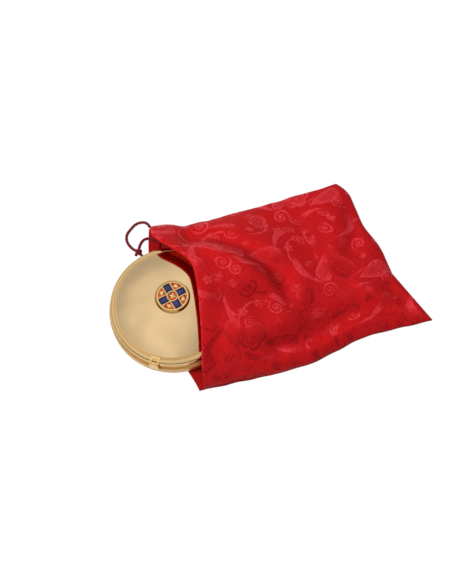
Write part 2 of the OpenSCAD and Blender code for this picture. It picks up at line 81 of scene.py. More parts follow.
eye_back = eye_direction(EYE_AZIMUTH, EYE_ELEVATION)
camera_data = bpy.data.cameras.new("eye")
camera_data.sensor_width = SENSOR_MM
camera_data.lens = SENSOR_MM * FOCAL_PX / PHOTO_HEIGHT_PX
camera_data.clip_start = CLIP_NEAR_M
camera_data.clip_end = CLIP_FAR_M
camera = bpy.data.objects.new("eye", camera_data)
camera.location = (EYE_TARGET + eye_back * EYE_DISTANCE) * MM
camera.rotation_euler = (-eye_back).to_track_quat("-Z", "Y").to_euler()
bpy.context.scene.collection.objects.link(camera)
bpy.context.scene.camera = camera
bpy.context.scene.view_settings.view_transform = "Standard"
print("lens in mm:", round(camera_data.lens, 2))

# %% [markdown]
# The drawcord is twisted from three plies. A plain tube would look like wire, so the cord is swept
# from a section of three lobes that turns as it goes: Blender's curves do this with a bevel object
# and a tilt at each point. The swept curve becomes a mesh. The furrows between the lobes make the
# section narrower than its widest measure, so the free cord's section is drawn a little wide.

# %% The section of a three-ply cord
CORD_D = 1.8
PLIES = 3
PLY_PITCH = 6.6
FURROW_SHARE, LOBE_ROUND = 0.74, 0.7
FREE_CORD_ALLOWANCE = 1.08
SECTION_STEPS = 24


def add_object(name, data):
    piece = bpy.data.objects.new(name, data)
    bpy.context.scene.collection.objects.link(piece)
    return piece


def plied_section(name, width):
    section = bpy.data.curves.new(name, "CURVE")
    spline = section.splines.new("POLY")
    spline.points.add(SECTION_STEPS - 1)
    for step, point in enumerate(spline.points):
        turn = 2 * math.pi * step / SECTION_STEPS
        lobe = abs(math.cos(PLIES * turn / 2)) ** LOBE_ROUND
        radius = width / 2 * (FURROW_SHARE + (1 - FURROW_SHARE) * lobe)
        point.co = (radius * math.cos(turn) * MM, radius * math.sin(turn) * MM, 0, 1)
    spline.use_cyclic_u = True
    return add_object(name, section)


round_section = plied_section("round_section", CORD_D * FREE_CORD_ALLOWANCE)
print("section points:", SECTION_STEPS)

# %% Sweep a cord along a route
STEPS_BETWEEN_POINTS = 12
MERGE_M = 1e-7


def curve_through(name, route):
    curve = bpy.data.curves.new(name, "CURVE")
    curve.dimensions = "3D"
    curve.resolution_u = STEPS_BETWEEN_POINTS
    spline = curve.splines.new("BEZIER")
    spline.bezier_points.add(len(route) - 1)
    gone = 0.0
    for index, (point, place) in enumerate(zip(spline.bezier_points, route)):
        if index:
            gone += (Vector(place) - Vector(route[index - 1])).length
        point.co = Vector(place) * MM
        point.handle_left_type = point.handle_right_type = "AUTO"
        point.tilt = 2 * math.pi * gone / PLY_PITCH
    return add_object(name, curve)


def mesh_of(piece):
    bpy.context.view_layer.update()
    graph = bpy.context.evaluated_depsgraph_get()
    return bpy.data.meshes.new_from_object(piece.evaluated_get(graph))


def swept_cord(name, route, section):
    line = curve_through(name + "_line", route)
    bare = mesh_of(line)
    path = [vertex.co.copy() for vertex in bare.vertices]
    line.data.bevel_mode = "OBJECT"
    line.data.bevel_object = section
    line.data.use_fill_caps = True
    mesh = mesh_of(line)
    mesh.name = name
    bpy.data.meshes.remove(bare)
    bpy.data.curves.remove(line.data)
    shell = bmesh.new()
    shell.from_mesh(mesh)
    bmesh.ops.remove_doubles(shell, verts=shell.verts, dist=MERGE_M)
    bmesh.ops.recalc_face_normals(shell, faces=shell.faces)
    shell.to_mesh(mesh)
    shell.free()
    mesh.shade_smooth()
    length = sum((b - a).length for a, b in zip(path, path[1:]))
    print(name, "length in mm:", round(length / MM, 1), "faces:", len(mesh.polygons))
    return add_object(name, mesh), path, length


print("steps between two points of a route:", STEPS_BETWEEN_POINTS)

# %% [markdown]
# The two free stretches of the cord come from the CAD routes. One leaves the far end of the upper
# hem and makes the small loop beside the mouth, the other comes out of the mouth. They meet in
# a knot.

# %% Free stretches of the drawcord
KNOT_AT = (-34, 33, 2.5)
LOOP_ROUTE = (
    (-31, 49, 8.5), (-34, 51.5, 7), (-38, 52.5, 4.5), (-42, 51, 2), (-44, 47.5, 1), (-45, 44, 1),
    (-44.5, 40.5, 1), (-43, 38, 1), (-40, 35.5, 1), (-37, 34, 1.5), KNOT_AT,
)
STRAND_ROUTE = (
    (-12, 43, 1.6), (-16.5, 43.5, 1.6), (-21, 44, 1.6), (-25, 44, 1.8), (-28, 43.5, 2.4),
    (-30.5, 43.5, 2.8), (-33, 42, 2.8), (-34.5, 39, 1.8), (-34.5, 36, 1.8), KNOT_AT,
)
loop, loop_path, loop_length = swept_cord("drawcord_loop", LOOP_ROUTE, round_section)
strand, strand_path, strand_length = swept_cord("drawcord_strand", STRAND_ROUTE, round_section)

# %% [markdown]
# The knot is an overhand knot drawn tight. Its line is the well-known trefoil, whose three
# crossings are just what an overhand knot has, opened at one place so that two short tails stick
# out. A plied section of the cord's own width is swept along it.

# %% Knot with two tails
KNOT_R = 0.62
KNOT_SQUEEZE, KNOT_HALF_HEIGHT = 0.8, 0.85
KNOT_OPEN = 0.04
KNOT_STEPS = 26
TAIL_SHORT = Vector((-0.4, -2.6, -1.2))
TAIL_LONG = Vector((3.0, -1.4, -1.0))


def trefoil(turn):
    return Vector(KNOT_AT) + Vector((
        KNOT_R * (math.sin(turn) + 2 * math.sin(2 * turn)) * KNOT_SQUEEZE,
        KNOT_R * (math.cos(turn) - 2 * math.cos(2 * turn)) * KNOT_SQUEEZE,
        -KNOT_HALF_HEIGHT * math.sin(3 * turn),
    ))


knot_shares = [KNOT_OPEN + (1 - 2 * KNOT_OPEN) * step / KNOT_STEPS for step in range(KNOT_STEPS + 1)]
knot_route = [trefoil(2 * math.pi * share) for share in knot_shares]
knot_route = [knot_route[0] + TAIL_LONG, knot_route[0] + TAIL_LONG * 0.5] + knot_route
knot_route = knot_route + [knot_route[-1] + TAIL_SHORT * 0.5, knot_route[-1] + TAIL_SHORT]
knot_section = plied_section("knot_section", CORD_D)
knot, _, _ = swept_cord("drawcord_knot", knot_route, knot_section)

# %% [markdown]
# The bag. Its panels are measured along the bag (u, from the mouth to the closed end) and across
# it (q, from -1 at the near seam to 1 at the far one). A sewn bag with a box half in it is a lofted
# shell: high over the dome, sinking to a flat tail. The formulas are the CAD's, with a closed end
# that reaches one or two millimetres further; the folds are laid over them below.

# %% The bag's plain shape, close to the CAD's
BAG_TURN = math.radians(33)
BAG_ALONG = Vector((math.cos(BAG_TURN), math.sin(BAG_TURN), 0.0))
BAG_ACROSS = Vector((-math.sin(BAG_TURN), math.cos(BAG_TURN), 0.0))
BAG_LENGTH, BAG_WIDTH = 132.3, 112.0
BAG_SHIFT, BAG_DRIFT, FAR_TAPER = 4.5, 4.0, 4.0
MOUTH_AT, LOWER_REACH, UPPER_DRAW = 4.5, 9.5, 14.7
MOUTH_CREST, CREST_RUN, FAR_FALL = 0.16, 0.62, 1.12
MOUTH_HEIGHT, TAIL_HEIGHT = 25.5, 9.0
END_SKEW, END_ROUND, EAR_LENGTH = 5.0, 5.8, 11.6
SKEW_FROM, SKEW_RUN, CORNER_FROM, EAR_FROM = -0.1, 0.5, 0.75, -0.35
ARCH_FULL, ARCH_STEEP = 2.4, 0.6
SINK_FROM, CLOSE_FROM = 0.12, 0.75
NEAR_MOUTH_CURVE, NEAR_HEM_CURVE = 1.5, 1.35
TAPER_AT_MOUTH, TAPER_RUN, TAPER_ALONG, DRIFT_RUN = 0.7, 0.2, 0.4, 0.3
SOLID_CLOTH = 0.6
CLOTH, LOWER_CLOTH = 0.36, 0.55


def ease(t):
    t = min(1.0, max(0.0, t))
    return t * t * (3 - 2 * t)


def between(a, b, share):
    return a + (b - a) * share


def arch(q):
    return max(0.0, 1 - abs(q) ** ARCH_FULL) ** ARCH_STEEP


def bag_room(s):
    closing = max(0.0, (s - CLOSE_FROM) / (1 - CLOSE_FROM))
    height = between(MOUTH_HEIGHT, TAIL_HEIGHT, ease((s - SINK_FROM) / (CLOSE_FROM - SINK_FROM)))
    return height * math.sqrt(max(0.0, 1 - closing * closing))


def upper_mouth(q):
    if q < MOUTH_CREST:
        fall = ((MOUTH_CREST - q) / (1 + MOUTH_CREST)) ** NEAR_MOUTH_CURVE
    else:
        fall = FAR_FALL * ease((q - MOUTH_CREST) / CREST_RUN)
    return MOUTH_AT + UPPER_DRAW * (1 - fall)


def lower_mouth(q):
    return MOUTH_AT - LOWER_REACH * (1 - q * q) ** (NEAR_HEM_CURVE if q < 0 else 1.0)


def bag_end(q):
    corner = max(0.0, (q - CORNER_FROM) / (1 - CORNER_FROM))
    ear = max(0.0, (EAR_FROM - q) / (1 + EAR_FROM))
    step_back = END_SKEW * ease((q - SKEW_FROM) / SKEW_RUN)
    return MOUTH_AT + BAG_LENGTH + EAR_LENGTH * ear - step_back - END_ROUND * corner * corner


def across(s, q):
    taper = FAR_TAPER * (TAPER_AT_MOUTH * ease(s / TAPER_RUN) + TAPER_ALONG * s) * max(0.0, q)
    return BAG_SHIFT + q * BAG_WIDTH / 2 - BAG_DRIFT * ease(s / DRIFT_RUN) * (1 - s) - taper


def row_point(u, v, z):
    return (BAG_ALONG * u + BAG_ACROSS * v + Vector((0, 0, z))) * MM


for side, q in (("near", -1), ("far", 1)):
    corner = row_point(bag_end(q), across(1, q), 0)
    print(side, "end corner in mm:", [round(length / MM) for length in corner])

# %% [markdown]
# Folds are what makes cloth read as cloth. Each one is a stroke over the plain shape: a line on the
# bag's plan with a width and a height, negative for a valley. The strokes follow the light and
# dark bands of the photograph. Six of them repeat the CAD's own lines: a long valley from the far
# side of the mouth, where the cloth drops off the box, and the ridge beside it; a valley and a ridge
# on the near side; a valley along the near seam; and a dent at the closed end. The small ones are only
# here. A cloth simulation would find folds of its own, but not the ones in the photograph.

# %% Folds
CAD_LENGTH = 131.5
CAD_FOLD_HALF = 7.0
CAD_FOLDS = (
    # height, then the line as shares of the bag's length and of its half width
    (-5.2, (0.12, 0.6), (0.24, 0.53), (0.35, 0.33), (0.42, 0.1), (0.48, -0.15)),
    (2.4, (0.18, 0.35), (0.29, 0.17), (0.35, -0.05), (0.42, -0.3)),
    (-3.2, (0.17, -0.24), (0.32, -0.3), (0.45, -0.33)),
    (2.4, (0.15, -0.67), (0.32, -0.72), (0.44, -0.62)),
    (-3.6, (0.35, -0.81), (0.47, -0.83), (0.66, -0.75), (0.8, -0.69), (0.98, -0.79)),
    (-3.4, (0.94, 0.53), (0.91, 0.22), (0.85, 0.03)),
)
SMALL_FOLDS = (
    # half width, height, then the line in millimetres along and across the bag
    (3.5, 1.6, (56, -49), (80, -49), (100, -44), (126, -45)),
    (8.0, -1.6, (48, -14), (68, -16)),
    (4.0, 1.8, (112, -20), (122, -30), (133, -40)),
    (4.0, -1.8, (130, -25), (138, -36)),
    (7.0, -1.5, (72, 38), (92, 36)),
    (6.0, -1.4, (77, 9), (92, 7)),
)


def on_plan(share_along, share_across):
    """A point of the CAD's fold lines, in millimetres along and across the bag."""
    return MOUTH_AT + share_along * CAD_LENGTH, BAG_SHIFT + share_across * BAG_WIDTH / 2


FOLDS = [(CAD_FOLD_HALF, height, *(on_plan(*point) for point in line)) for height, *line in CAD_FOLDS]
FOLDS += SMALL_FOLDS
SWELLS = (
    # height, waves per millimetre along and across, slice of the noise
    (1.1, 0.035, 0.035, 3.1),
    (0.45, 0.09, 0.07, 8.3),
)


def bell(off_middle, half):
    """1 in the middle, falling to about a third at the half width and softly to 0."""
    return math.exp(-(off_middle / half) ** 2)


def off_line(here, line):
    """Distance from a point of the bag's plan to the nearest stretch of a fold's line."""
    reach = []
    for start, end in zip(line, line[1:]):
        start, run = Vector(start), Vector(end) - Vector(start)
        share = (here - start).dot(run) / run.length_squared
        reach.append((here - start - run * min(1.0, max(0.0, share))).length)
    return min(reach)


def fold_height(u, v):
    here = Vector((u, v))
    strokes = sum(height * bell(off_line(here, line), half) for half, height, *line in FOLDS)
    swells = sum(
        height * noise.noise(Vector((u * along, v * girth, depth)))
        for height, along, girth, depth in SWELLS)
    return strokes + swells


print("folds:", len(FOLDS), "deepest in mm:", min(fold[1] for fold in FOLDS))

# %% [markdown]
# A side seam is never quite straight: its thread draws the cloth together, and the heavy box pulls
# at it. So each seam wanders a little from its line, with one pinch and one swell on the near side
# and a notch on the far side, and small puckers from a noise field run along both.

# %% How the seams wander and pucker
NEAR_PINCH_AT, NEAR_PINCH, NEAR_PINCH_HALF = 108.0, 3.2, 24.0
NEAR_SWELL_AT, NEAR_SWELL, NEAR_SWELL_HALF = 64.0, 1.8, 18.0
FAR_NOTCH_AT, FAR_NOTCH, FAR_NOTCH_HALF = 21.0, 1.6, 5.0
WANDER, WANDER_WAVES, WANDER_FAR, WANDER_SLICE = 0.7, 0.09, 7.7, 0.4
PUCKER, PUCKER_REACH, PUCKER_EDGE = 0.55, 0.09, 0.012
PUCKER_WAVES_ALONG, PUCKER_WAVES_ACROSS, PUCKER_SLICE = 0.23, 3.0, 1.9


def seam_pull(u, q):
    """How far the side seams wander from their straight line, fading towards the middle."""
    near = NEAR_PINCH * bell(u - NEAR_PINCH_AT, NEAR_PINCH_HALF)
    near -= NEAR_SWELL * bell(u - NEAR_SWELL_AT, NEAR_SWELL_HALF)
    far = -FAR_NOTCH * bell(u - FAR_NOTCH_AT, FAR_NOTCH_HALF)
    wander = WANDER * noise.noise(Vector((u * WANDER_WAVES, WANDER_FAR * (q > 0), WANDER_SLICE)))
    return abs(q) ** 3 * ((near if q < 0 else far) + wander)


def pucker(u, q):
    from_seam = 1 - abs(q)
    reach = bell(from_seam, PUCKER_REACH) * min(1.0, from_seam / PUCKER_EDGE)
    wave = noise.noise(Vector((u * PUCKER_WAVES_ALONG, q * PUCKER_WAVES_ACROSS, PUCKER_SLICE)))
    return PUCKER * reach * wave


print("near seam pinched in mm:", NEAR_PINCH, "puckers in mm:", PUCKER)

# %% [markdown]
# The upper panel, hem and all, is one sheet. A grid from bmesh gives its vertices in rows; each
# row is then moved into place, the way a sculptor pulls a flat sheet over a form. The first rows are
# the hem: a tuck along the inside, then half a turn round the drawcord, then the panel, which
# falls from the top of that roll to its own level. Its sewn edges rest on the lower panel. The flat
# length walked along each row and column is kept as the UV map, so the woven pattern follows the
# cloth.

# %% The upper panel's outer face
SEAM_GAP = 0.02
FREE_FROM_SEAM, FREE_FROM_END, THICK_FROM_SEAM = 1.6, 3.0, 3.0
FOLDS_FROM_MOUTH, PUCKERS_FROM_END = 0.16, 12.0
MOUTH_LIFT, LIFT_AT, LIFT_HALF, LIFT_SHARE = 4.0, -0.1, 0.5, 0.3


def upper_surface(s, q):
    """A point of the panel without its hem: s runs from the mouth to the closed end."""
    u = between(upper_mouth(q), bag_end(q), s)
    v = across(s, q)
    free = min(1.0, FREE_FROM_SEAM * arch(q)) * min(1.0, FREE_FROM_END * math.sqrt(max(0.0, 1 - s)))
    folds = free * ease(s / FOLDS_FROM_MOUTH) * fold_height(u, v)
    puckers = min(1.0, PUCKERS_FROM_END * (1 - s)) * pucker(u, q)
    lift = MOUTH_LIFT * bell(q - LIFT_AT, LIFT_HALF) * arch(q) * (1 - ease(s / LIFT_SHARE))
    cloth = between(CLOTH + SEAM_GAP, SOLID_CLOTH, min(1.0, THICK_FROM_SEAM * arch(q)))
    z = SOLID_CLOTH + bag_room(s) * arch(q) + cloth + folds + puckers + lift
    return u, v + seam_pull(u, q), z


print("mouth's crest in mm:", [round(length, 1) for length in upper_surface(0.0, MOUTH_CREST)])

# %% Rows of the upper panel and its rolled hem
TUCK_ROWS, ROLL_ROWS, PANEL_ROWS = 3, 9, 132
UPPER_ROWS = TUCK_ROWS + ROLL_ROWS + PANEL_ROWS
UPPER_COLUMNS = 120
ROW_CROWDING = 0.35
ROLL_R, ROLL_SET_BACK = 1.4, 1.43
ROLL_NARROWING, ROLL_NARROW_FROM = 0.72, 0.84
TUCK_LENGTH, TUCK_DROP = 7.0, 0.8
TUCK_INSET, TUCK_INSET_FROM = 1.3, 0.5
WELT_RUN, WELT_LEAD = 11.0, 0.4
SEAM_RUN = 6.0


def towards_seam(q, start):
    """0 up to the start, then rising to 1 at either seam."""
    return ease((abs(q) - start) / (1 - start))


def hem_taper(q):
    return 1 - ROLL_NARROWING * towards_seam(q, ROLL_NARROW_FROM)


def panel_share(row):
    """How far down the panel a row lies: the rows crowd towards the mouth."""
    s = (row - TUCK_ROWS - ROLL_ROWS) / PANEL_ROWS
    return between(s, s * s, ROW_CROWDING)


def on_lower_panel(edge, inner):
    """Height of a sewn edge whose inner face rests on the lower panel."""
    run = math.hypot(inner[0] - edge[0], inner[1] - edge[1])
    return LOWER_CLOTH + SEAM_GAP + CLOTH * run / math.hypot(run, inner[2] - LOWER_CLOTH)


def hem_place(row, q):
    u, v, z = upper_surface(0.0, q)
    middle = u - ROLL_SET_BACK
    low = z - TUCK_DROP
    if row < TUCK_ROWS:
        inside = TUCK_LENGTH * (1 - row / TUCK_ROWS)
        _, v, panel_z = upper_surface(inside / (bag_end(q) - u), q)
        inset = TUCK_INSET * q * towards_seam(q, TUCK_INSET_FROM)
        return middle + inside, v - inset, min(low, panel_z - TUCK_DROP)
    radius = ROLL_R * hem_taper(q)
    turn = math.radians(270 - 180 * (row - TUCK_ROWS) / ROLL_ROWS)
    return middle + radius * math.cos(turn), v, low + radius + radius * math.sin(turn)


def upper_place(row, q):
    if row < TUCK_ROWS + ROLL_ROWS:
        return hem_place(row, q)
    s = panel_share(row)
    u, v, z = upper_surface(s, q)
    gone = u - upper_mouth(q)
    if abs(q) == 1:
        seam = on_lower_panel((u, v), upper_surface(s, q * (1 - 2 / UPPER_COLUMNS)))
        z = between(z, seam, ease(gone / SEAM_RUN))
    if row == UPPER_ROWS:
        z = on_lower_panel((u, v), upper_surface(panel_share(row - 1), q))
    back = ROLL_SET_BACK * (1 - ease(gone / WELT_RUN))
    welt = (2 * ROLL_R * hem_taper(q) - TUCK_DROP) * (1 - ease((gone + WELT_LEAD) / WELT_RUN))
    return u - back, v, z + max(0.0, welt)


print("rows of the upper panel:", UPPER_ROWS, "columns:", UPPER_COLUMNS)

# %% A sheet of rows and columns
UV_SPAN = 200.0


def flat_sizes(grid, rows, columns):
    """Length walked to each vertex in mm: along its column from the first row, and from the middle."""
    flat = {}
    middle = columns // 2
    for row in range(rows + 1):
        for side in (range(middle, columns + 1), range(middle, -1, -1)):
            gone = 0.0
            for column in side:
                if column != middle:
                    previous = column - 1 if column > middle else column + 1
                    gone += (grid[row, column].co - grid[row, previous].co).length / MM
                flat[row, column] = [0.0, gone if column > middle else -gone]
    for column in range(columns + 1):
        gone = 0.0
        for row in range(1, rows + 1):
            gone += (grid[row, column].co - grid[row - 1, column].co).length / MM
            flat[row, column][0] = gone
    return flat


def cloth_grid(name, rows, columns, place):
    """A sheet of rows and columns, each vertex moved to place(row, q), with its flat size as UV."""
    sheet = bmesh.new()
    bmesh.ops.create_grid(sheet, x_segments=rows, y_segments=columns, size=0.5)
    grid = {}
    for vertex in sheet.verts:
        row = round((vertex.co.x + 0.5) * rows)
        column = round((vertex.co.y + 0.5) * columns)
        grid[row, column] = vertex
    for (row, column), vertex in grid.items():
        vertex.co = row_point(*place(row, 2 * column / columns - 1))
    flat = flat_sizes(grid, rows, columns)
    sheet.verts.index_update()
    by_index = {vertex.index: flat[key] for key, vertex in grid.items()}
    layer = sheet.loops.layers.uv.new("cloth")
    for face in sheet.faces:
        for corner in face.loops:
            along, girth = by_index[corner.vert.index]
            corner[layer].uv = (along / UV_SPAN, 0.5 + girth / UV_SPAN)
    mesh = bpy.data.meshes.new(name)
    sheet.to_mesh(mesh)
    sheet.free()
    mesh.shade_smooth()
    return add_object(name, mesh)


def area_of(piece):
    return sum(face.area for face in piece.data.polygons)


upper_cloth = cloth_grid("bag_upper_cloth", UPPER_ROWS, UPPER_COLUMNS, upper_place)
print("upper cloth in square mm:", round(area_of(upper_cloth) / MM / MM))

# %% [markdown]
# The lower panel lies flat on the table and the box stands on its mouth. Its hem is pressed flat
# under the box, so the roll is low and wide. It is the same kind of sheet, with its outer face
# down.

# %% Lower panel with its flattened hem
LOWER_TUCK_ROWS, LOWER_ROLL_ROWS, LOWER_PANEL_ROWS = 4, 7, 60
LOWER_ROWS = LOWER_TUCK_ROWS + LOWER_ROLL_ROWS + LOWER_PANEL_ROWS
LOWER_COLUMNS = 90
FLAT_HEM, FLAT_HEM_HEIGHT = 4.4, 1.55
HEM_THINNING, HEM_THIN_FROM = 0.45, 0.9
LOWER_TUCK, LOWER_TUCK_GAP, LOWER_TUCK_RISE = 3.5, 0.05, 1.6


def lower_place(row, q):
    mouth = lower_mouth(q)
    height = FLAT_HEM_HEIGHT * (1 - HEM_THINNING * towards_seam(q, HEM_THIN_FROM))
    radius = height / 2
    front = mouth - FLAT_HEM
    hem_v = across(0.0, q) + seam_pull(0.0, q)
    if row < LOWER_TUCK_ROWS:
        share = row / LOWER_TUCK_ROWS
        u = between(mouth + LOWER_TUCK, front + radius, share)
        return u, hem_v, between(2 * LOWER_CLOTH + LOWER_TUCK_GAP, height, ease(share * LOWER_TUCK_RISE))
    if row < LOWER_TUCK_ROWS + LOWER_ROLL_ROWS:
        turn = math.radians(90 + 180 * (row - LOWER_TUCK_ROWS) / LOWER_ROLL_ROWS)
        return front + radius + radius * math.cos(turn), hem_v, radius + radius * math.sin(turn)
    s = (row - LOWER_TUCK_ROWS - LOWER_ROLL_ROWS) / LOWER_PANEL_ROWS
    u = between(front + radius, bag_end(q), s)
    return u, across(s, q) + seam_pull(u, q), 0.0


lower_cloth = cloth_grid("bag_lower_cloth", LOWER_ROWS, LOWER_COLUMNS, lower_place)
print("lower cloth in square mm:", round(area_of(lower_cloth) / MM / MM))

# %% [markdown]
# Cloth and lining together are a few tenths of a millimetre thick. Modelling both faces by hand would
# double the work, so a Solidify modifier adds the inner face to each sheet, and gives it the next
# material slot: the lining's. It grows inwards, so the sheets have to face outwards first.

# %% Give both panels their thickness
BAG_INSIDE = (70.0, 0.0, 5.0)


def face_outwards(piece, inner_point):
    """Turns the sheet so that its faces look away from a point inside the bag."""
    shell = bmesh.new()
    shell.from_mesh(piece.data)
    bmesh.ops.recalc_face_normals(shell, faces=shell.faces)
    probe = max(shell.faces, key=lambda face: abs((face.calc_center_median() - inner_point).z))
    if (probe.calc_center_median() - inner_point).dot(probe.normal) < 0:
        bmesh.ops.reverse_faces(shell, faces=shell.faces)
    shell.to_mesh(piece.data)
    shell.free()


def thicken(piece, thickness):
    wall = piece.modifiers.new("wall", "SOLIDIFY")
    wall.thickness = thickness * MM
    wall.offset = -1
    wall.use_even_offset = False
    wall.material_offset = 1
    wall.material_offset_rim = 0


for panel, thickness in ((upper_cloth, CLOTH), (lower_cloth, LOWER_CLOTH)):
    face_outwards(panel, row_point(*BAG_INSIDE))
    thicken(panel, thickness)
print("cloth thickness in mm:", CLOTH, LOWER_CLOTH)

# %% [markdown]
# Inside the hems the cord runs on. It hardly shows, but an opened bag would look wrong without it.
# It is the same sweep with a thinner section, so that it stays inside its hem: half as wide in the
# upper hem, and thinner still in the lower one, which is pressed flat.

# %% Cord inside the hems
HEM_CORD_STEPS = 24
HEM_CORD_REACH = 0.93
THIN_SHARE, FLAT_SHARE = 0.5, 0.22


def in_upper_hem(q):
    u, v, z = upper_surface(0.0, q)
    return u - ROLL_SET_BACK, v, z - TUCK_DROP + ROLL_R * hem_taper(q)


def in_lower_hem(q):
    return lower_mouth(q) - FLAT_HEM / 2, across(0.0, q), FLAT_HEM_HEIGHT / 2


def hem_route(place):
    stops = [HEM_CORD_REACH * (2 * step / HEM_CORD_STEPS - 1) for step in range(HEM_CORD_STEPS + 1)]
    return [row_point(*place(q)) / MM for q in stops]


thin_section = plied_section("thin_section", CORD_D * THIN_SHARE)
flat_section = plied_section("flat_section", CORD_D * FLAT_SHARE)
upper_run, _, _ = swept_cord("drawcord_in_upper_hem", hem_route(in_upper_hem), thin_section)
lower_run, _, _ = swept_cord("drawcord_in_lower_hem", hem_route(in_lower_hem), flat_section)
for section in (round_section, knot_section, thin_section, flat_section):
    bpy.data.curves.remove(section.data)

# %% [markdown]
# Materials start from small helpers. A node group is built once with named sockets and placed in
# each material that needs it. This class keeps the node code short: it adds a node, links what
# it is given and returns the output socket.

# %% Helpers for shader nodes
class Nodes:
    def __init__(self, tree):
        self.tree = tree

    def add(self, kind, **settings):
        node = self.tree.nodes.new(kind)
        for name, value in settings.items():
            setattr(node, name, value)
        return node

    def feed(self, socket, value):
        if isinstance(value, bpy.types.NodeSocket):
            self.tree.links.new(value, socket)
        else:
            socket.default_value = value

    def math(self, operation, *values, clamp=False):
        node = self.add("ShaderNodeMath", operation=operation, use_clamp=clamp)
        for socket, value in zip(node.inputs, values):
            self.feed(socket, value)
        return node.outputs[0]

    def vector(self, operation, *values):
        node = self.add("ShaderNodeVectorMath", operation=operation)
        for socket, value in zip(node.inputs, values):
            self.feed(socket, value)
        return node.outputs["Value" if operation in ("LENGTH", "DOT_PRODUCT") else "Vector"]

    def split(self, vector):
        node = self.add("ShaderNodeSeparateXYZ")
        self.feed(node.inputs[0], vector)
        return node.outputs[0], node.outputs[1], node.outputs[2]

    def join(self, x, y, z=0.0):
        node = self.add("ShaderNodeCombineXYZ")
        for socket, value in zip(node.inputs, (x, y, z)):
            self.feed(socket, value)
        return node.outputs[0]

    def ramp(self, value, low, high, out_low=0.0, out_high=1.0, smooth=True):
        node = self.add("ShaderNodeMapRange", interpolation_type="SMOOTHSTEP" if smooth else "LINEAR")
        limits = {"From Min": low, "From Max": high, "To Min": out_low, "To Max": out_high}
        self.feed(node.inputs["Value"], value)
        for name, limit in limits.items():
            self.feed(node.inputs[name], limit)
        return node.outputs[0]

    def noise(self, vector, scale, detail=2.0, rough=0.5):
        node = self.add("ShaderNodeTexNoise")
        self.feed(node.inputs["Vector"], vector)
        node.inputs["Scale"].default_value = scale
        node.inputs["Detail"].default_value = detail
        node.inputs["Roughness"].default_value = rough
        return node.outputs["Fac"]

    def mix(self, share, first, second):
        # The Mix node holds its colours in sockets 6 and 7 and puts the mixed one out as number 2.
        node = self.add("ShaderNodeMix", data_type="RGBA")
        self.feed(node.inputs[0], share)
        self.feed(node.inputs[6], first)
        self.feed(node.inputs[7], second)
        return node.outputs[2]

    def bump(self, height, strength, distance):
        node = self.add("ShaderNodeBump")
        node.inputs["Strength"].default_value = strength
        node.inputs["Distance"].default_value = distance * MM
        self.feed(node.inputs["Height"], height)
        return node.outputs[0]

    def object_point(self):
        return self.add("ShaderNodeTexCoord").outputs["Object"]

    def group(self, tree, **values):
        node = self.add("ShaderNodeGroup", node_tree=tree)
        for name, value in values.items():
            self.feed(node.inputs[name.replace("_", " ")], value)
        return node.outputs


def new_group(name, inputs, outputs):
    tree = bpy.data.node_groups.new(name, "ShaderNodeTree")
    for socket, kind in inputs:
        tree.interface.new_socket(socket, in_out="INPUT", socket_type=kind)
    for socket, kind in outputs:
        tree.interface.new_socket(socket, in_out="OUTPUT", socket_type=kind)
    nodes = Nodes(tree)
    return tree, nodes, nodes.add("NodeGroupInput").outputs, nodes.add("NodeGroupOutput").inputs


def new_material(name, **constants):
    material = bpy.data.materials.new(name)
    material.use_nodes = True
    nodes = Nodes(material.node_tree)
    surface = material.node_tree.nodes["Principled BSDF"]
    for socket, value in constants.items():
        surface.inputs[socket.replace("_", " ")].default_value = value
    return material, nodes, surface.inputs


def wear(piece, *finishes):
    """Gives a piece its material slots, in this order."""
    piece.data.materials.clear()
    for finish in finishes:
        piece.data.materials.append(finish)


FLOAT, VECTOR = "NodeSocketFloat", "NodeSocketVector"
print("node helpers ready")

# %% [markdown]
# Gilding. The case is polished to a mirror and plated, so most of its look is the room around it.
# What tells metal from a computer's mirror is small: a breath of haze where a cloth has wiped it, fine
# turned rings left by the lathe, and a little drift in the colour of the plate. One group makes
# the three from a position; each metal finish takes its own share of them.

# %% Node group: traces of turning and polishing
HAZE_SCALE, RING_SCALE, DRIFT_SCALE = 55.0, 2600.0, 30.0
HAZE_EDGE = (0.35, 0.75)
polish_tree, polish, given, result = new_group(
    "polish_traces",
    [("Position", VECTOR), ("Haze", FLOAT), ("Rings", FLOAT)],
    [("Roughness", FLOAT), ("Height", FLOAT), ("Drift", FLOAT)],
)
haze_cloud = polish.noise(given["Position"], HAZE_SCALE, detail=3.0)
wiped = polish.ramp(haze_cloud, *HAZE_EDGE)
at_x, at_y, at_z = polish.split(given["Position"])
from_axis = polish.vector("LENGTH", polish.join(at_x, at_y))
ring_noise = polish.noise(polish.join(from_axis, at_z), RING_SCALE, detail=2.0)
polish.feed(result["Roughness"], polish.math("MULTIPLY", wiped, given["Haze"]))
polish.feed(result["Height"], polish.math("MULTIPLY", ring_noise, given["Rings"]))
polish.feed(result["Drift"], polish.noise(given["Position"], DRIFT_SCALE, detail=1.0))
print("polish group nodes:", len(polish_tree.nodes))

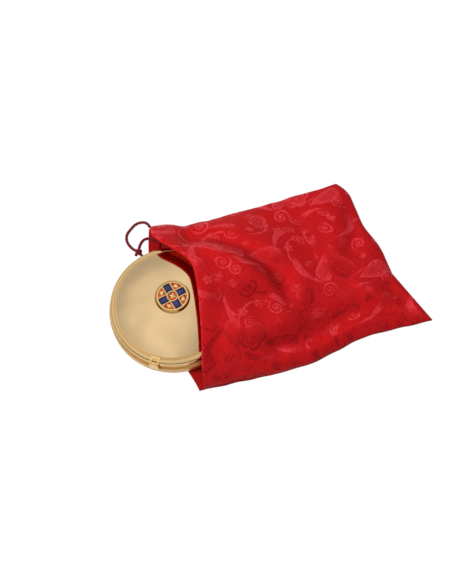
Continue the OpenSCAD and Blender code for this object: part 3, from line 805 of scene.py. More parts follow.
# %% Metal finishes
RING_STRENGTH, RING_DEPTH = 0.12, 0.01
METALS = {
    # light colour, deep colour, roughness, haze, rings
    "polished_gilt": ((0.87, 0.62, 0.335, 1), (0.82, 0.575, 0.30, 1), 0.06, 0.07, 0.4),
    "side_gilt": ((0.79, 0.535, 0.25, 1), (0.73, 0.48, 0.21, 1), 0.08, 0.08, 1.0),
    "bezel_gilt": ((0.54, 0.33, 0.12, 1), (0.46, 0.27, 0.085, 1), 0.10, 0.08, 0.4),
    "bowl_gilt": ((0.79, 0.52, 0.24, 1), (0.73, 0.47, 0.205, 1), 0.36, 0.08, 1.0),
    "clasp_gilt": ((0.95, 0.66, 0.29, 1), (0.86, 0.57, 0.22, 1), 0.16, 0.08, 0.6),
    "satin_gilt": ((0.86, 0.60, 0.30, 1), (0.80, 0.54, 0.25, 1), 0.22, 0.10, 1.0),
    "pin_brass": ((0.80, 0.56, 0.26, 1), (0.72, 0.48, 0.20, 1), 0.16, 0.08, 0.6),
    "medallion_gilt": ((0.92, 0.63, 0.29, 1), (0.84, 0.54, 0.21, 1), 0.14, 0.08, 0.3),
}


def gilt(name, light, deep, roughness, haze, rings):
    material, nodes, surface = new_material(name, Metallic=1.0)
    traces = nodes.group(polish_tree, Position=nodes.object_point(), Haze=haze, Rings=rings)
    nodes.feed(surface["Base Color"], nodes.mix(traces["Drift"], light, deep))
    nodes.feed(surface["Roughness"], nodes.math("ADD", traces["Roughness"], roughness))
    nodes.feed(surface["Normal"], nodes.bump(traces["Height"], RING_STRENGTH, RING_DEPTH))
    return material


finishes = {name: gilt(name, *values) for name, values in METALS.items()}
print("metal finishes:", ", ".join(finishes))

# %% [markdown]
# Enamel is glass fused to metal: deep colour, a clear wet surface and tiny bubbles. In the blue cells
# the glass has drawn itself into a low pillow, and its colour is painted darker along the walls:
# painted shade. One group finds how far a point lies from the walls of its cell: the four cells lie
# along the diagonals.

# %% Node group: pillow of a blue cell
CELL_MIDDLE, CELL_REACH, CELL_HALF = 5.65, 2.75, 2.2
CELL_WALL, PILLOW_TOP = 1.0, 0.3
DIAGONAL = math.sqrt(2) * MM
pillow_tree, pillow, given, result = new_group("cell_pillow", [("Position", VECTOR)], [("Pillow", FLOAT)])
at_x, at_y, _ = pillow.split(given["Position"])
rising = pillow.math("ABSOLUTE", pillow.math("ADD", at_x, at_y))
falling = pillow.math("ABSOLUTE", pillow.math("SUBTRACT", at_x, at_y))
outward = pillow.math("SUBTRACT", pillow.math("MAXIMUM", rising, falling), CELL_MIDDLE * DIAGONAL)
along_cell = pillow.math("DIVIDE", pillow.math("ABSOLUTE", outward), CELL_REACH * DIAGONAL)
across_cell = pillow.math("DIVIDE", pillow.math("MINIMUM", rising, falling), CELL_HALF * DIAGONAL)
from_middle = pillow.math("MAXIMUM", along_cell, across_cell)
pillow.feed(result["Pillow"], pillow.ramp(from_middle, CELL_WALL, PILLOW_TOP))
print("pillow nodes:", len(pillow_tree.nodes))

# %% Enamels
BUBBLE_SCALE, BUBBLE_STRENGTH, BUBBLE_HEIGHT = 320.0, 0.25, 0.2
PILLOW_STRENGTH, PILLOW_HEIGHT = 1.0, 0.7
GRAIN_EDGE = (0.35, 0.7)


def enamel(name, deep, thin, grain, rough, shine, rim=None):
    """Glass fused to metal: flat with tiny bubbles, or a pillow whose rim colour is painted shade."""
    material, nodes, surface = new_material(name, Roughness=rough, Specular_IOR_Level=shine)
    position = nodes.object_point()
    depth = nodes.ramp(nodes.noise(position, grain, detail=3.0), *GRAIN_EDGE)
    colour = nodes.mix(depth, deep, thin)
    if rim:
        height = nodes.group(pillow_tree, Position=position)["Pillow"]
        # Painted shade: the colour turns to the rim colour towards the cell walls.
        colour = nodes.mix(height, rim, colour)
        normal = nodes.bump(height, PILLOW_STRENGTH, PILLOW_HEIGHT)
    else:
        bubbles = nodes.noise(position, BUBBLE_SCALE, detail=1.0)
        normal = nodes.bump(bubbles, BUBBLE_STRENGTH, BUBBLE_HEIGHT)
    nodes.feed(surface["Base Color"], colour)
    nodes.feed(surface["Normal"], normal)
    return material


finishes["orange_glass"] = enamel(
    "orange_glass", (0.22, 0.020, 0.002, 1), (0.60, 0.115, 0.010, 1), grain=600.0, rough=0.22, shine=0.35)
# The blue cells' rim colour is painted shade along their walls.
finishes["blue_glass"] = enamel(
    "blue_glass", (0.010, 0.010, 0.070, 1), (0.030, 0.034, 0.15, 1), grain=420.0, rough=0.10, shine=0.5,
    rim=(0.004, 0.004, 0.016, 1))
print("finishes with the enamels:", len(finishes))

# %% [markdown]
# The CAD's own metal and glass pieces stay as they are and only get their finish: a mirror on the
# lid, a darker gold on the bezel, and a softer shine on the bowl, whose low sides mirror little but
# the table.

# %% Finishes on the CAD's own pieces
FINISH_OF_NODE = {
    "base_bowl": "bowl_gilt", "lid_band": "side_gilt", "lid_dome": "polished_gilt",
    "base_hinge_leaf": "polished_gilt", "lid_hinge_leaf": "polished_gilt",
    "clasp_bracket": "clasp_gilt", "clasp_flap": "clasp_gilt",
    "base_collar": "satin_gilt", "hinge_pin": "pin_brass", "clasp_pin": "pin_brass",
    "medallion_bezel": "bezel_gilt", "medallion_plate": "medallion_gilt",
    "blue_enamel": "blue_glass", "orange_enamel": "orange_glass", "hub_enamel": "orange_glass",
}
for node_name, finish_name in FINISH_OF_NODE.items():
    wear(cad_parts[node_name], finishes[finish_name])
print("finished CAD pieces:", len(FINISH_OF_NODE))

# %% [markdown]
# The cord is dark, almost burgundy. Its plies are real geometry; the material adds the fine
# fibres that lie along them.

# %% Cord material
CORD_DARK, CORD_LIGHT = (0.075, 0.002, 0.005, 1), (0.23, 0.008, 0.017, 1)
FIBRE_SCALE, FIBRE_STRENGTH, FIBRE_HEIGHT = 2400.0, 0.5, 0.1
cord_dye, cord_nodes, cord_surface = new_material(
    "cord_dye", Roughness=0.75, Sheen_Weight=0.12, Sheen_Roughness=0.4)
fibre = cord_nodes.noise(cord_nodes.object_point(), FIBRE_SCALE, detail=3.0, rough=0.65)
cord_nodes.feed(cord_surface["Base Color"], cord_nodes.mix(fibre, CORD_DARK, CORD_LIGHT))
cord_nodes.feed(cord_surface["Normal"], cord_nodes.bump(fibre, FIBRE_STRENGTH, FIBRE_HEIGHT))
cord_pieces = (loop, strand, knot, upper_run, lower_run)
for piece in cord_pieces:
    wear(piece, cord_dye)
print("cord pieces:", len(cord_pieces))

# %% [markdown]
# The brocade. A damask loom weaves one colour of silk in two ways: the ground shows mostly warp
# and the motifs mostly weft. Nothing is printed, so the pattern shows only because the two lie
# differently to the light, and it turns from lighter to darker over a fold; here that turn is
# painted sheen and painted shade in the colour. The motifs here are the old stock of such cloth:
# scrolls, rosettes, drops, palmettes, blossoms, leaves and stems. A painted picture could carry
# them, but formulas stay sharp at any distance. Each is a formula on its own small plane; one group
# puts it on the cloth and repeats it in half-drop, as looms do.

# %% Node group: put a motif on the cloth
REPEAT_ALONG, REPEAT_GIRTH = 66.0, 60.0
MOTIF_INPUTS = [("Cloth", VECTOR), ("X", FLOAT), ("Y", FLOAT), ("Turn", FLOAT), ("Size", FLOAT)]
place_tree, place, given, result = new_group("motif_place", MOTIF_INPUTS, [("Local", VECTOR)])
cloth_x, cloth_y, _ = place.split(given["Cloth"])
off_x = place.math("SUBTRACT", cloth_x, given["X"])
column = place.math("FLOOR", place.math("MULTIPLY_ADD", off_x, 1 / REPEAT_ALONG, 0.5))
odd = place.math("FLOORED_MODULO", column, 2.0)
near_x = place.math("SUBTRACT", off_x, place.math("MULTIPLY", column, REPEAT_ALONG))
dropped = place.math("MULTIPLY_ADD", odd, REPEAT_GIRTH / 2, place.math("SUBTRACT", cloth_y, given["Y"]))
near_y = place.math("WRAP", dropped, REPEAT_GIRTH / 2, -REPEAT_GIRTH / 2)
mirrored_y = place.math("MULTIPLY", near_y, place.math("MULTIPLY_ADD", odd, -2.0, 1.0))
cosine, sine = place.math("COSINE", given["Turn"]), place.math("SINE", given["Turn"])
turned_x = place.math(
    "ADD", place.math("MULTIPLY", near_x, cosine), place.math("MULTIPLY", mirrored_y, sine))
turned_y = place.math(
    "SUBTRACT", place.math("MULTIPLY", mirrored_y, cosine), place.math("MULTIPLY", near_x, sine))
place.feed(result["Local"], place.join(
    place.math("DIVIDE", turned_x, given["Size"]), place.math("DIVIDE", turned_y, given["Size"])))
print("repeat in mm:", REPEAT_ALONG, REPEAT_GIRTH)


# %% Start a motif group on its own plane
def new_motif(name):
    tree, nodes, given, result = new_group(name, MOTIF_INPUTS, [("Mask", FLOAT), ("Fill", FLOAT)])
    local = nodes.group(place_tree, **{socket: given[socket] for socket, _ in MOTIF_INPUTS})["Local"]
    return tree, nodes, local, result


def plane(nodes, local):
    """The two coordinates of a motif's plane."""
    x, y, _ = nodes.split(local)
    return x, y


def polar(nodes, local):
    """The distance from a motif's middle and the angle round it."""
    x, y = plane(nodes, local)
    return nodes.vector("LENGTH", local), nodes.math("ARCTAN2", y, x)


def band(nodes, distance, half_width, soft=0.02):
    """1 where the distance is under the half width, with a soft edge."""
    if isinstance(half_width, bpy.types.NodeSocket):
        outer = nodes.math("ADD", half_width, soft)
    else:
        outer = half_width + soft
    return nodes.ramp(nodes.math("ABSOLUTE", distance), outer, half_width)


def strongest(nodes, *masks):
    total = masks[0]
    for mask in masks[1:]:
        total = nodes.math("MAXIMUM", total, mask)
    return total


print("motif helpers ready")

# %% [markdown]
# Seven motifs follow. Each mask is 1 on the figure and 0 on the ground. The scroll is a logarithmic
# spiral, since its turns widen as a fern's do. The rosette's petals and the palmette's lobes come from
# a cosine round the middle, the blossom from one petal repeated round it, and the drop and the leaf
# from a half width that swells and runs out to a point. The stem is an arc that small leaves widen.
# A name that ends in EDGE holds the two values between which a mask rises and, where it has four, the
# levels it rises between.

# %% Node group: scroll
SCROLL_GROWTH, SCROLL_SCALLOPS, SCROLL_INMOST = 2.3, 5.0, 0.02
ARM_HALF, SCALLOP_HALF, ARM_SOFT = 0.15, 0.05, 0.05
ARM_THINS_OUTWARD, ARM_THINS_INWARD = (1.0, 0.6), (0.1, 0.5, 0.55, 1.0)
CURL_OUTER_EDGE, CURL_INNER_EDGE, BUD_EDGE = (1.0, 0.93), (0.13, 0.2), (0.2, 0.15)
scroll_tree, scroll, local, result = new_motif("scroll_motif")
radius, angle = polar(scroll, local)
turns = scroll.math("LOGARITHM", scroll.math("MAXIMUM", radius, SCROLL_INMOST), SCROLL_GROWTH)
arm = scroll.math("FRACT", scroll.math("MULTIPLY_ADD", angle, -0.5 / math.pi, turns))
off_arm = scroll.math("SUBTRACT", arm, 0.5)
scallops = scroll.math("ABSOLUTE", scroll.math("SINE", scroll.math("MULTIPLY", angle, SCROLL_SCALLOPS)))
swell = scroll.math(
    "MULTIPLY", scroll.ramp(radius, *ARM_THINS_OUTWARD), scroll.ramp(radius, *ARM_THINS_INWARD))
scalloped = scroll.math("MULTIPLY_ADD", scallops, SCALLOP_HALF, ARM_HALF)
thickness = scroll.math("MULTIPLY", swell, scalloped)
inside = scroll.math(
    "MULTIPLY", scroll.ramp(radius, *CURL_OUTER_EDGE), scroll.ramp(radius, *CURL_INNER_EDGE))
curl = scroll.math("MULTIPLY", band(scroll, off_arm, thickness, ARM_SOFT), inside)
scroll.feed(result["Mask"], strongest(scroll, curl, scroll.ramp(radius, *BUD_EDGE)))
print("scroll nodes:", len(scroll_tree.nodes))

# %% Node group: rosette
PETALS = 5
PETAL_FULLNESS, PETAL_DEPTH, PETAL_ROOT = 0.55, 0.32, 0.62
OUTLINE_HALF, OUTLINE_SOFT = 0.085, 0.04
INNER_PETAL, INNER_HALF = 0.62, 0.035
VEIN_HALF, VEINS_AT, VEINS_REACH = 0.03, 0.36, 0.12
HEART_EDGE, PETAL_FILL_EDGE = (0.17, 0.13), (0.0, -0.06)
rosette_tree, rosette, local, result = new_motif("rosette_motif")
radius, angle = polar(rosette, local)
fivefold = rosette.math("MULTIPLY", angle, PETALS / 2)
petal = rosette.math("POWER", rosette.math("ABSOLUTE", rosette.math("COSINE", fivefold)), PETAL_FULLNESS)
petal_edge = rosette.math("MULTIPLY_ADD", petal, PETAL_DEPTH, PETAL_ROOT)
past_petal = rosette.math("SUBTRACT", radius, petal_edge)
outline = band(rosette, past_petal, OUTLINE_HALF, OUTLINE_SOFT)
inner_petal = band(rosette, rosette.math("MULTIPLY_ADD", petal_edge, -INNER_PETAL, radius), INNER_HALF)
vein = rosette.math("MULTIPLY", rosette.math("ABSOLUTE", rosette.math("SINE", fivefold)), radius)
vein_ring = band(rosette, rosette.math("SUBTRACT", radius, VEINS_AT), VEINS_REACH)
veins = rosette.math("MULTIPLY", band(rosette, vein, VEIN_HALF), vein_ring)
heart = rosette.ramp(radius, *HEART_EDGE)
rosette.feed(result["Mask"], strongest(rosette, outline, inner_petal, veins, heart))
rosette.feed(result["Fill"], rosette.ramp(past_petal, *PETAL_FILL_EDGE))
print("rosette nodes:", len(rosette_tree.nodes))

# %% Node group: bent drop
UNIT_HALF = 0.5
DROP_BEND, DROP_SHIFT, DROP_BELLY, DROP_POINT = 0.42, 0.1, 0.82, 1.1
RIM_AT, RIM_HALF, RIM_SOFT = 0.035, 0.035, 0.015
SECOND_RIM_AT, SECOND_RIM_HALF, SECOND_RIM_SOFT = 0.125, 0.016, 0.012
DROP_HATCH, HATCH_SLANT, HATCH_SHARE = 125.0, 0.25, 0.7
DROP_HATCH_EDGE, CORE_EDGE, DROP_FILL_EDGE = (-0.2, 0.6), (0.16, 0.18), (0.0, 0.03)
drop_tree, drop, local, result = new_motif("drop_motif")
x, y = plane(drop, local)
height = drop.math("ADD", y, UNIT_HALF, clamp=True)
lean = drop.math("MULTIPLY", height, height)
bent = drop.math("MULTIPLY_ADD", lean, -DROP_BEND, drop.math("ADD", x, DROP_SHIFT))
pointing = drop.math("POWER", drop.math("SUBTRACT", 1.0, height), DROP_POINT)
belly = drop.math("MULTIPLY", drop.math("SQRT", height), pointing)
off_middle = drop.math("ABSOLUTE", bent)
depth = drop.math("MULTIPLY_ADD", belly, DROP_BELLY, drop.math("MULTIPLY", off_middle, -1.0))
within = drop.math("LESS_THAN", drop.math("ABSOLUTE", y), UNIT_HALF)
rim_line = band(drop, drop.math("SUBTRACT", depth, RIM_AT), RIM_HALF, RIM_SOFT)
rim = drop.math("MULTIPLY", rim_line, within)
second_line = band(drop, drop.math("SUBTRACT", depth, SECOND_RIM_AT), SECOND_RIM_HALF, SECOND_RIM_SOFT)
second_rim = drop.math("MULTIPLY", second_line, within)
slanted = drop.math("MULTIPLY_ADD", y, HATCH_SLANT, x)
hatch_wave = drop.math("SINE", drop.math("MULTIPLY", slanted, DROP_HATCH))
hatch = drop.math("MULTIPLY", drop.ramp(hatch_wave, *DROP_HATCH_EDGE), HATCH_SHARE)
core = drop.math("MULTIPLY", drop.ramp(depth, *CORE_EDGE), within)
drop.feed(result["Mask"], strongest(drop, rim, second_rim, drop.math("MULTIPLY", hatch, core)))
drop.feed(result["Fill"], drop.math("MULTIPLY", drop.ramp(depth, *DROP_FILL_EDGE), within))
print("drop nodes:", len(drop_tree.nodes))

# %% Node group: palmette
LOBES_ROUND, LOBE_FULLNESS = 7, 0.5
SPREAD_SWING, SPREAD_MIDDLE = 0.42, 0.52
LOBE_EDGE, LOBE_ROOT_EDGE = (0.0, -0.06), (0.16, 0.2)
FAN_EDGE, BASE_DOT_EDGE = (2.0, 1.85), (0.12, 0.08)
palmette_tree, palmette, local, result = new_motif("palmette_motif")
x, y = plane(palmette, local)
radius = palmette.vector("LENGTH", local)
from_upright = palmette.math("ARCTAN2", x, y)
lobe_wave = palmette.math("COSINE", palmette.math("MULTIPLY", from_upright, LOBES_ROUND / 2))
lobe = palmette.math("POWER", palmette.math("ABSOLUTE", lobe_wave), LOBE_FULLNESS)
spread = palmette.math("MULTIPLY_ADD", palmette.math("COSINE", from_upright), SPREAD_SWING, SPREAD_MIDDLE)
past_edge = palmette.math("SUBTRACT", radius, palmette.math("MULTIPLY", lobe, spread))
lobes = palmette.math(
    "MULTIPLY", palmette.ramp(past_edge, *LOBE_EDGE), palmette.ramp(radius, *LOBE_ROOT_EDGE))
fan = palmette.ramp(palmette.math("ABSOLUTE", from_upright), *FAN_EDGE)
fanned = palmette.math("MULTIPLY", lobes, fan)
palmette.feed(result["Mask"], strongest(palmette, fanned, palmette.ramp(radius, *BASE_DOT_EDGE)))
print("palmette nodes:", len(palmette_tree.nodes))

# %% Node group: blossom
PETAL_OUT, PETAL_SQUEEZE = 0.62, 0.8
PETAL_EDGE, BLOSSOM_HEART_EDGE = (0.34, 0.24), (0.2, 0.13)
blossom_tree, blossom, local, result = new_motif("blossom_motif")
radius, angle = polar(blossom, local)
petal_turn = blossom.math("WRAP", angle, math.pi / PETALS, -math.pi / PETALS)
petal_x = blossom.math("MULTIPLY_ADD", radius, blossom.math("COSINE", petal_turn), -PETAL_OUT)
petal_y = blossom.math("MULTIPLY", radius, blossom.math("SINE", petal_turn))
squeezed_x = blossom.math("MULTIPLY", petal_x, PETAL_SQUEEZE)
petals = blossom.ramp(blossom.vector("LENGTH", blossom.join(squeezed_x, petal_y)), *PETAL_EDGE)
blossom.feed(result["Mask"], strongest(blossom, petals, blossom.ramp(radius, *BLOSSOM_HEART_EDGE)))
print("blossom nodes:", len(blossom_tree.nodes))

# %% Node group: sweeping leaf
LEAF_BOW, LEAF_BEND_AT = 0.6, 0.35
LEAF_WIDTH, LEAF_POINT, LEAF_SOFT = 0.11, 1.3, 0.03
HATCH_ACROSS, HATCH_ALONG = 300.0, 80.0
LEAF_HATCH_EDGE, LEAF_TIP_EDGE = (-0.6, 0.4, 0.6, 1.0), (0.004, 0.02)
LEAF_VEIN_HALF, LEAF_VEIN_SOFT = 0.011, 0.014
VEIN_START_EDGE, VEIN_END_EDGE = (0.04, 0.2), (0.95, 0.7)
leaf_tree, leaf, local, result = new_motif("leaf_motif")
x, y = plane(leaf, local)
leaf_up = leaf.math("ADD", y, UNIT_HALF, clamp=True)
from_bend = leaf.math("SUBTRACT", leaf_up, LEAF_BEND_AT)
bow = leaf.math("MULTIPLY", leaf.math("MULTIPLY", from_bend, from_bend), LEAF_BOW)
off_leaf = leaf.math("SUBTRACT", x, bow)
narrowing = leaf.math("POWER", leaf.math("SUBTRACT", 1.0, leaf_up), LEAF_POINT)
swelling = leaf.math("MULTIPLY", leaf.math("SQRT", leaf_up), narrowing)
leaf_half = leaf.math("MULTIPLY", swelling, LEAF_WIDTH)
hatch_phase = leaf.math("MULTIPLY_ADD", off_leaf, HATCH_ACROSS, leaf.math("MULTIPLY", y, HATCH_ALONG))
hatch = leaf.ramp(leaf.math("SINE", hatch_phase), *LEAF_HATCH_EDGE)
hatched = leaf.math("MULTIPLY", leaf.ramp(leaf_half, *LEAF_TIP_EDGE), hatch)
blade = leaf.math("MULTIPLY", band(leaf, off_leaf, leaf_half, LEAF_SOFT), hatched)
off_vein = leaf.math("MULTIPLY_ADD", narrowing, LEAF_WIDTH, off_leaf)
vein_run = leaf.math("MULTIPLY", leaf.ramp(leaf_up, *VEIN_START_EDGE), leaf.ramp(leaf_up, *VEIN_END_EDGE))
vein = leaf.math("MULTIPLY", band(leaf, off_vein, LEAF_VEIN_HALF, LEAF_VEIN_SOFT), vein_run)
within = leaf.math("LESS_THAN", leaf.math("ABSOLUTE", y), UNIT_HALF)
leaf.feed(result["Mask"], leaf.math("MULTIPLY", strongest(leaf, blade, vein), within))
print("leaf nodes:", len(leaf_tree.nodes))

# %% Node group: stem with small leaves
STEM_R, STEM_ARC, STEM_LEAVES = 0.92, 1.35, 13.0
STEM_HALF, STEM_LEAF_HALF, STEM_LEAF_SHARPNESS, STEM_SOFT = 0.035, 0.06, 3.0, 0.015
STEM_TIP_EDGE = (0.02, 0.1)
stem_tree, stem, local, result = new_motif("stem_motif")
radius, angle = polar(stem, local)
along_stem = stem.math("DIVIDE", angle, STEM_ARC)
thinning = stem.math("SUBTRACT", 1.0, stem.math("MULTIPLY", along_stem, along_stem), clamp=True)
leaf_wave = stem.math("SINE", stem.math("MULTIPLY", angle, STEM_LEAVES))
small_leaves = stem.math("POWER", stem.math("MAXIMUM", leaf_wave, 0.0), STEM_LEAF_SHARPNESS)
leafy_half = stem.math("MULTIPLY_ADD", small_leaves, STEM_LEAF_HALF, STEM_HALF)
stem_half = stem.math("MULTIPLY", thinning, leafy_half)
stroke = band(stem, stem.math("SUBTRACT", radius, STEM_R), stem_half, STEM_SOFT)
stem.feed(result["Mask"], stem.math("MULTIPLY", stroke, stem.ramp(thinning, *STEM_TIP_EDGE)))
print("stem nodes:", len(stem_tree.nodes))

# %% [markdown]
# The pattern's plan is a list: which motif, where in the repeat, how far turned and how large. It is
# a plan of its own, in the scale of the cloth in the photograph.

# %% Node group: the whole damask
MOTIF_PLAN = (
    # motif, along, girth, turn, size
    (scroll_tree, -24, 21, 0.4, 7.2),
    (scroll_tree, 2, -22, 2.6, 6.2),
    (scroll_tree, 28, 9, 4.4, 6.4),
    (scroll_tree, -9, 5, 1.3, 5.4),
    (scroll_tree, 21, -12, 5.6, 4.6),
    (scroll_tree, -1, 25, 3.4, 4.4),
    (scroll_tree, -31, -27, 2.0, 4.8),
    (scroll_tree, -20, 9, 5.0, 3.4),
    (leaf_tree, 17, 22, -0.5, 30.0),
    (leaf_tree, -12, 15, 2.2, 26.0),
    (leaf_tree, 9, -8, 1.1, 28.0),
    (leaf_tree, -20, -24, -1.2, 24.0),
    (leaf_tree, 27, -21, 0.4, 22.0),
    (rosette_tree, -25, -10, 0.2, 8.0),
    (rosette_tree, 12, 9, 0.9, 6.0),
    (drop_tree, -6, -17, 2.3, 20.0),
    (drop_tree, 30, 24, -2.4, 17.0),
    (palmette_tree, 25, -2, 0.9, 6.0),
    (palmette_tree, -15, 28, -1.9, 5.5),
    (blossom_tree, 17, -2, 0.5, 3.4),
    (blossom_tree, -30, 6, 0.1, 3.0),
    (blossom_tree, 11, -17, 0.9, 3.0),
    (scroll_tree, 8, 16, 1.0, 3.6),
    (scroll_tree, -27, -1, 3.0, 3.8),
    (scroll_tree, 20, 29, 5.2, 3.4),
    (scroll_tree, 32, -6, 0.7, 3.2),
    (scroll_tree, -14, -28, 4.0, 3.6),
    (blossom_tree, 2, 4, 0.3, 2.4),
    (blossom_tree, -9, -5, 0.8, 2.2),
    (stem_tree, 4, 11, 0.9, 13.0),
    (stem_tree, -30, 14, 2.6, 11.0),
    (stem_tree, -20, -2, -2.2, 15.0),
    (stem_tree, 20, -22, 3.4, 12.0),
)
damask_tree, damask, given, result = new_group(
    "damask_pattern", [("Cloth", VECTOR)], [("Motif", FLOAT), ("Fill", FLOAT)])
all_motifs, all_fills = 0.0, 0.0
for motif, along, girth, turn, size in MOTIF_PLAN:
    placed = damask.group(
        motif, Cloth=given["Cloth"], X=float(along), Y=float(girth), Turn=float(turn), Size=float(size))
    all_motifs = damask.math("MAXIMUM", all_motifs, placed["Mask"])
    if motif in (rosette_tree, drop_tree):
        all_fills = damask.math("MAXIMUM", all_fills, placed["Fill"])
damask.feed(result["Motif"], all_motifs)
damask.feed(result["Fill"], all_fills)
print("motifs in one repeat:", len(MOTIF_PLAN))

# %% [markdown]
# The silk takes the pattern in colour and in gloss. Silk throws back light in its own colour, almost
# as a metal does, so the motifs are made part metallic. Their colour is painted sheen and painted
# shade: a motif is painted a lighter red where the cloth faces the far side, and a darker red where
# it faces away from it. A slow noise shifts this a little over the cloth.

# %% Brocade: painted sheen and painted shade on the figures
FILL_SHARE = 0.2
FACING_SHARE, PATCH_WAVES = 0.40, 0.045
SHADE_UNDER, SHEEN_OVER = 0.30, 0.56
DEEPEST_SHADE, FULL_SHEEN, FAINTEST_SHEEN = -0.9, 1.0, 0.12
brocade, cloth_nodes, cloth_surface = new_material("brocade", Specular_IOR_Level=0.03)
uv_point = cloth_nodes.add("ShaderNodeUVMap", uv_map="cloth").outputs[0]
from_middle = cloth_nodes.vector("SUBTRACT", uv_point, (0.0, 0.5, 0.0))
cloth_mm = cloth_nodes.vector("MULTIPLY", from_middle, (UV_SPAN, UV_SPAN, 1.0))
pattern = cloth_nodes.group(damask_tree, Cloth=cloth_mm)
filling = cloth_nodes.math("MULTIPLY", pattern["Fill"], FILL_SHARE)
figure = cloth_nodes.math("MAXIMUM", pattern["Motif"], filling)
# Painted sheen and shade: which way the cloth faces picks a lighter or a darker red for each figure.
facing = cloth_nodes.add("ShaderNodeNewGeometry").outputs["Normal"]
faces_far = cloth_nodes.vector("DOT_PRODUCT", facing, tuple(BAG_ACROSS))
patches = cloth_nodes.noise(cloth_mm, PATCH_WAVES, detail=1.0)
facing_and_patches = cloth_nodes.math("MULTIPLY_ADD", faces_far, FACING_SHARE, patches)
shine = cloth_nodes.ramp(facing_and_patches, SHADE_UNDER, SHEEN_OVER, DEEPEST_SHADE, FULL_SHEEN, smooth=False)
figure_sheen = cloth_nodes.math("MULTIPLY", figure, cloth_nodes.math("MAXIMUM", shine, FAINTEST_SHEEN))
figure_shade = cloth_nodes.math("MULTIPLY", figure, cloth_nodes.math("MULTIPLY", shine, -1.0, clamp=True))
print("nodes for shine and dullness:", len(brocade.node_tree.nodes))

# %% Brocade: threads, colours and gloss
WARP_WAVES, WEFT_WAVES = (0.35, 3.2, 1.0), (3.0, 0.3, 1.0)
GROUND_THREAD_EDGE, FIGURE_THREAD_EDGE = (0.36, 0.64), (0.35, 0.65)
DRIFT_WAVES = 0.05
GROUND_DEEP, GROUND_CLEAR = (0.55, 0.010, 0.012, 1), (0.66, 0.016, 0.018, 1)
# The dark red for shaded figures is painted shade; the figure reds are painted sheen.
THREAD_RED, PAINTED_SHADE_RED = (0.45, 0.007, 0.009, 1), (0.27, 0.002, 0.004, 1)
FIGURE_DEEP, FIGURE_CLEAR = (0.60, 0.018, 0.026, 1), (0.92, 0.068, 0.084, 1)
GROUND_METAL, FIGURE_METAL = 0.16, 0.5
GROUND_ROUGH, FIGURE_ROUGH = 0.52, 0.38
drift = cloth_nodes.noise(cloth_mm, DRIFT_WAVES, detail=2.0)
warp_thread = cloth_nodes.noise(cloth_nodes.vector("MULTIPLY", cloth_mm, WARP_WAVES), 1.0, detail=2.0)
weft_thread = cloth_nodes.noise(cloth_nodes.vector("MULTIPLY", cloth_mm, WEFT_WAVES), 1.0, detail=2.0)
threads = cloth_nodes.math("MULTIPLY", cloth_nodes.math("ADD", warp_thread, weft_thread), 0.5)
ground_red = cloth_nodes.mix(drift, GROUND_DEEP, GROUND_CLEAR)
woven_red = cloth_nodes.mix(cloth_nodes.ramp(threads, *GROUND_THREAD_EDGE), THREAD_RED, ground_red)
figure_sheen_red = cloth_nodes.mix(cloth_nodes.ramp(threads, *FIGURE_THREAD_EDGE), FIGURE_DEEP, FIGURE_CLEAR)
# Painted shade: figures on cloth that faces away turn a darker red.
red_with_painted_shade = cloth_nodes.mix(figure_shade, woven_red, PAINTED_SHADE_RED)
metal = cloth_nodes.ramp(figure_sheen, 0.0, 1.0, GROUND_METAL, FIGURE_METAL, smooth=False)
rough = cloth_nodes.ramp(figure_sheen, 0.0, 1.0, GROUND_ROUGH, FIGURE_ROUGH, smooth=False)
# Painted sheen: figures on cloth that faces the far side take the lighter figure red.
cloth_nodes.feed(cloth_surface["Base Color"], cloth_nodes.mix(figure_sheen, red_with_painted_shade, figure_sheen_red))
cloth_nodes.feed(cloth_surface["Metallic"], metal)
cloth_nodes.feed(cloth_surface["Roughness"], rough)
print("nodes with colours and gloss:", len(brocade.node_tree.nodes))

# %% [markdown]
# The folds are geometry. What is finer than the mesh is left to a bump: the threads, and the slight
# crinkle of silk that has been drawn together in a hand. The motifs stay out of it, since they lie
# level with the ground.

# %% Brocade: weave and crinkle
THREAD_RELIEF, CRINKLE_RELIEF, CRINKLE_WAVES = 0.35, 2.4, 0.16
SILK_STRENGTH, SILK_HEIGHT = 0.6, 0.3
crinkle = cloth_nodes.noise(cloth_mm, CRINKLE_WAVES, detail=3.0, rough=0.55)
thread_relief = cloth_nodes.math("MULTIPLY", threads, THREAD_RELIEF)
relief = cloth_nodes.math("ADD", thread_relief, cloth_nodes.math("MULTIPLY", crinkle, CRINKLE_RELIEF))
cloth_nodes.feed(cloth_surface["Normal"], cloth_nodes.bump(relief, SILK_STRENGTH, SILK_HEIGHT))
print("brocade nodes:", len(brocade.node_tree.nodes))

# %% [markdown]
# The lining is plain thin silk. Daylight comes through the upper panel, so its lining gets a painted
# glow, a faint emission that stands in for that light; a translucent shader would do the same, but it
# costs more samples. The lower panel lies on the table and gets no such light: its lining is painted
# a darker red, as shade.

# %% Lining
PAINTED_LINING_GLOW = (0.58, 0.018, 0.004, 1)
FLECK_SCALE, FLECK_STRENGTH, FLECK_HEIGHT = 900.0, 0.3, 0.1


def lining_silk(name, dark, light, glow):
    material, nodes, surface = new_material(
        name, Roughness=0.7, Emission_Color=PAINTED_LINING_GLOW, Emission_Strength=glow)
    fleck = nodes.noise(nodes.object_point(), FLECK_SCALE, detail=3.0)
    nodes.feed(surface["Base Color"], nodes.mix(fleck, dark, light))
    nodes.feed(surface["Normal"], nodes.bump(fleck, FLECK_STRENGTH, FLECK_HEIGHT))
    return material


# The upper lining's emission is a painted glow; the lower lining's darker reds are painted shade.
upper_lining = lining_silk("upper_lining", (0.36, 0.010, 0.005, 1), (0.46, 0.016, 0.008, 1), 0.3)
shaded_lower_lining = lining_silk("shaded_lower_lining", (0.15, 0.004, 0.003, 1), (0.21, 0.007, 0.004, 1), 0.0)
wear(upper_cloth, brocade, upper_lining)
wear(lower_cloth, brocade, shaded_lower_lining)
print("linings:", upper_lining.name, shaded_lower_lining.name)
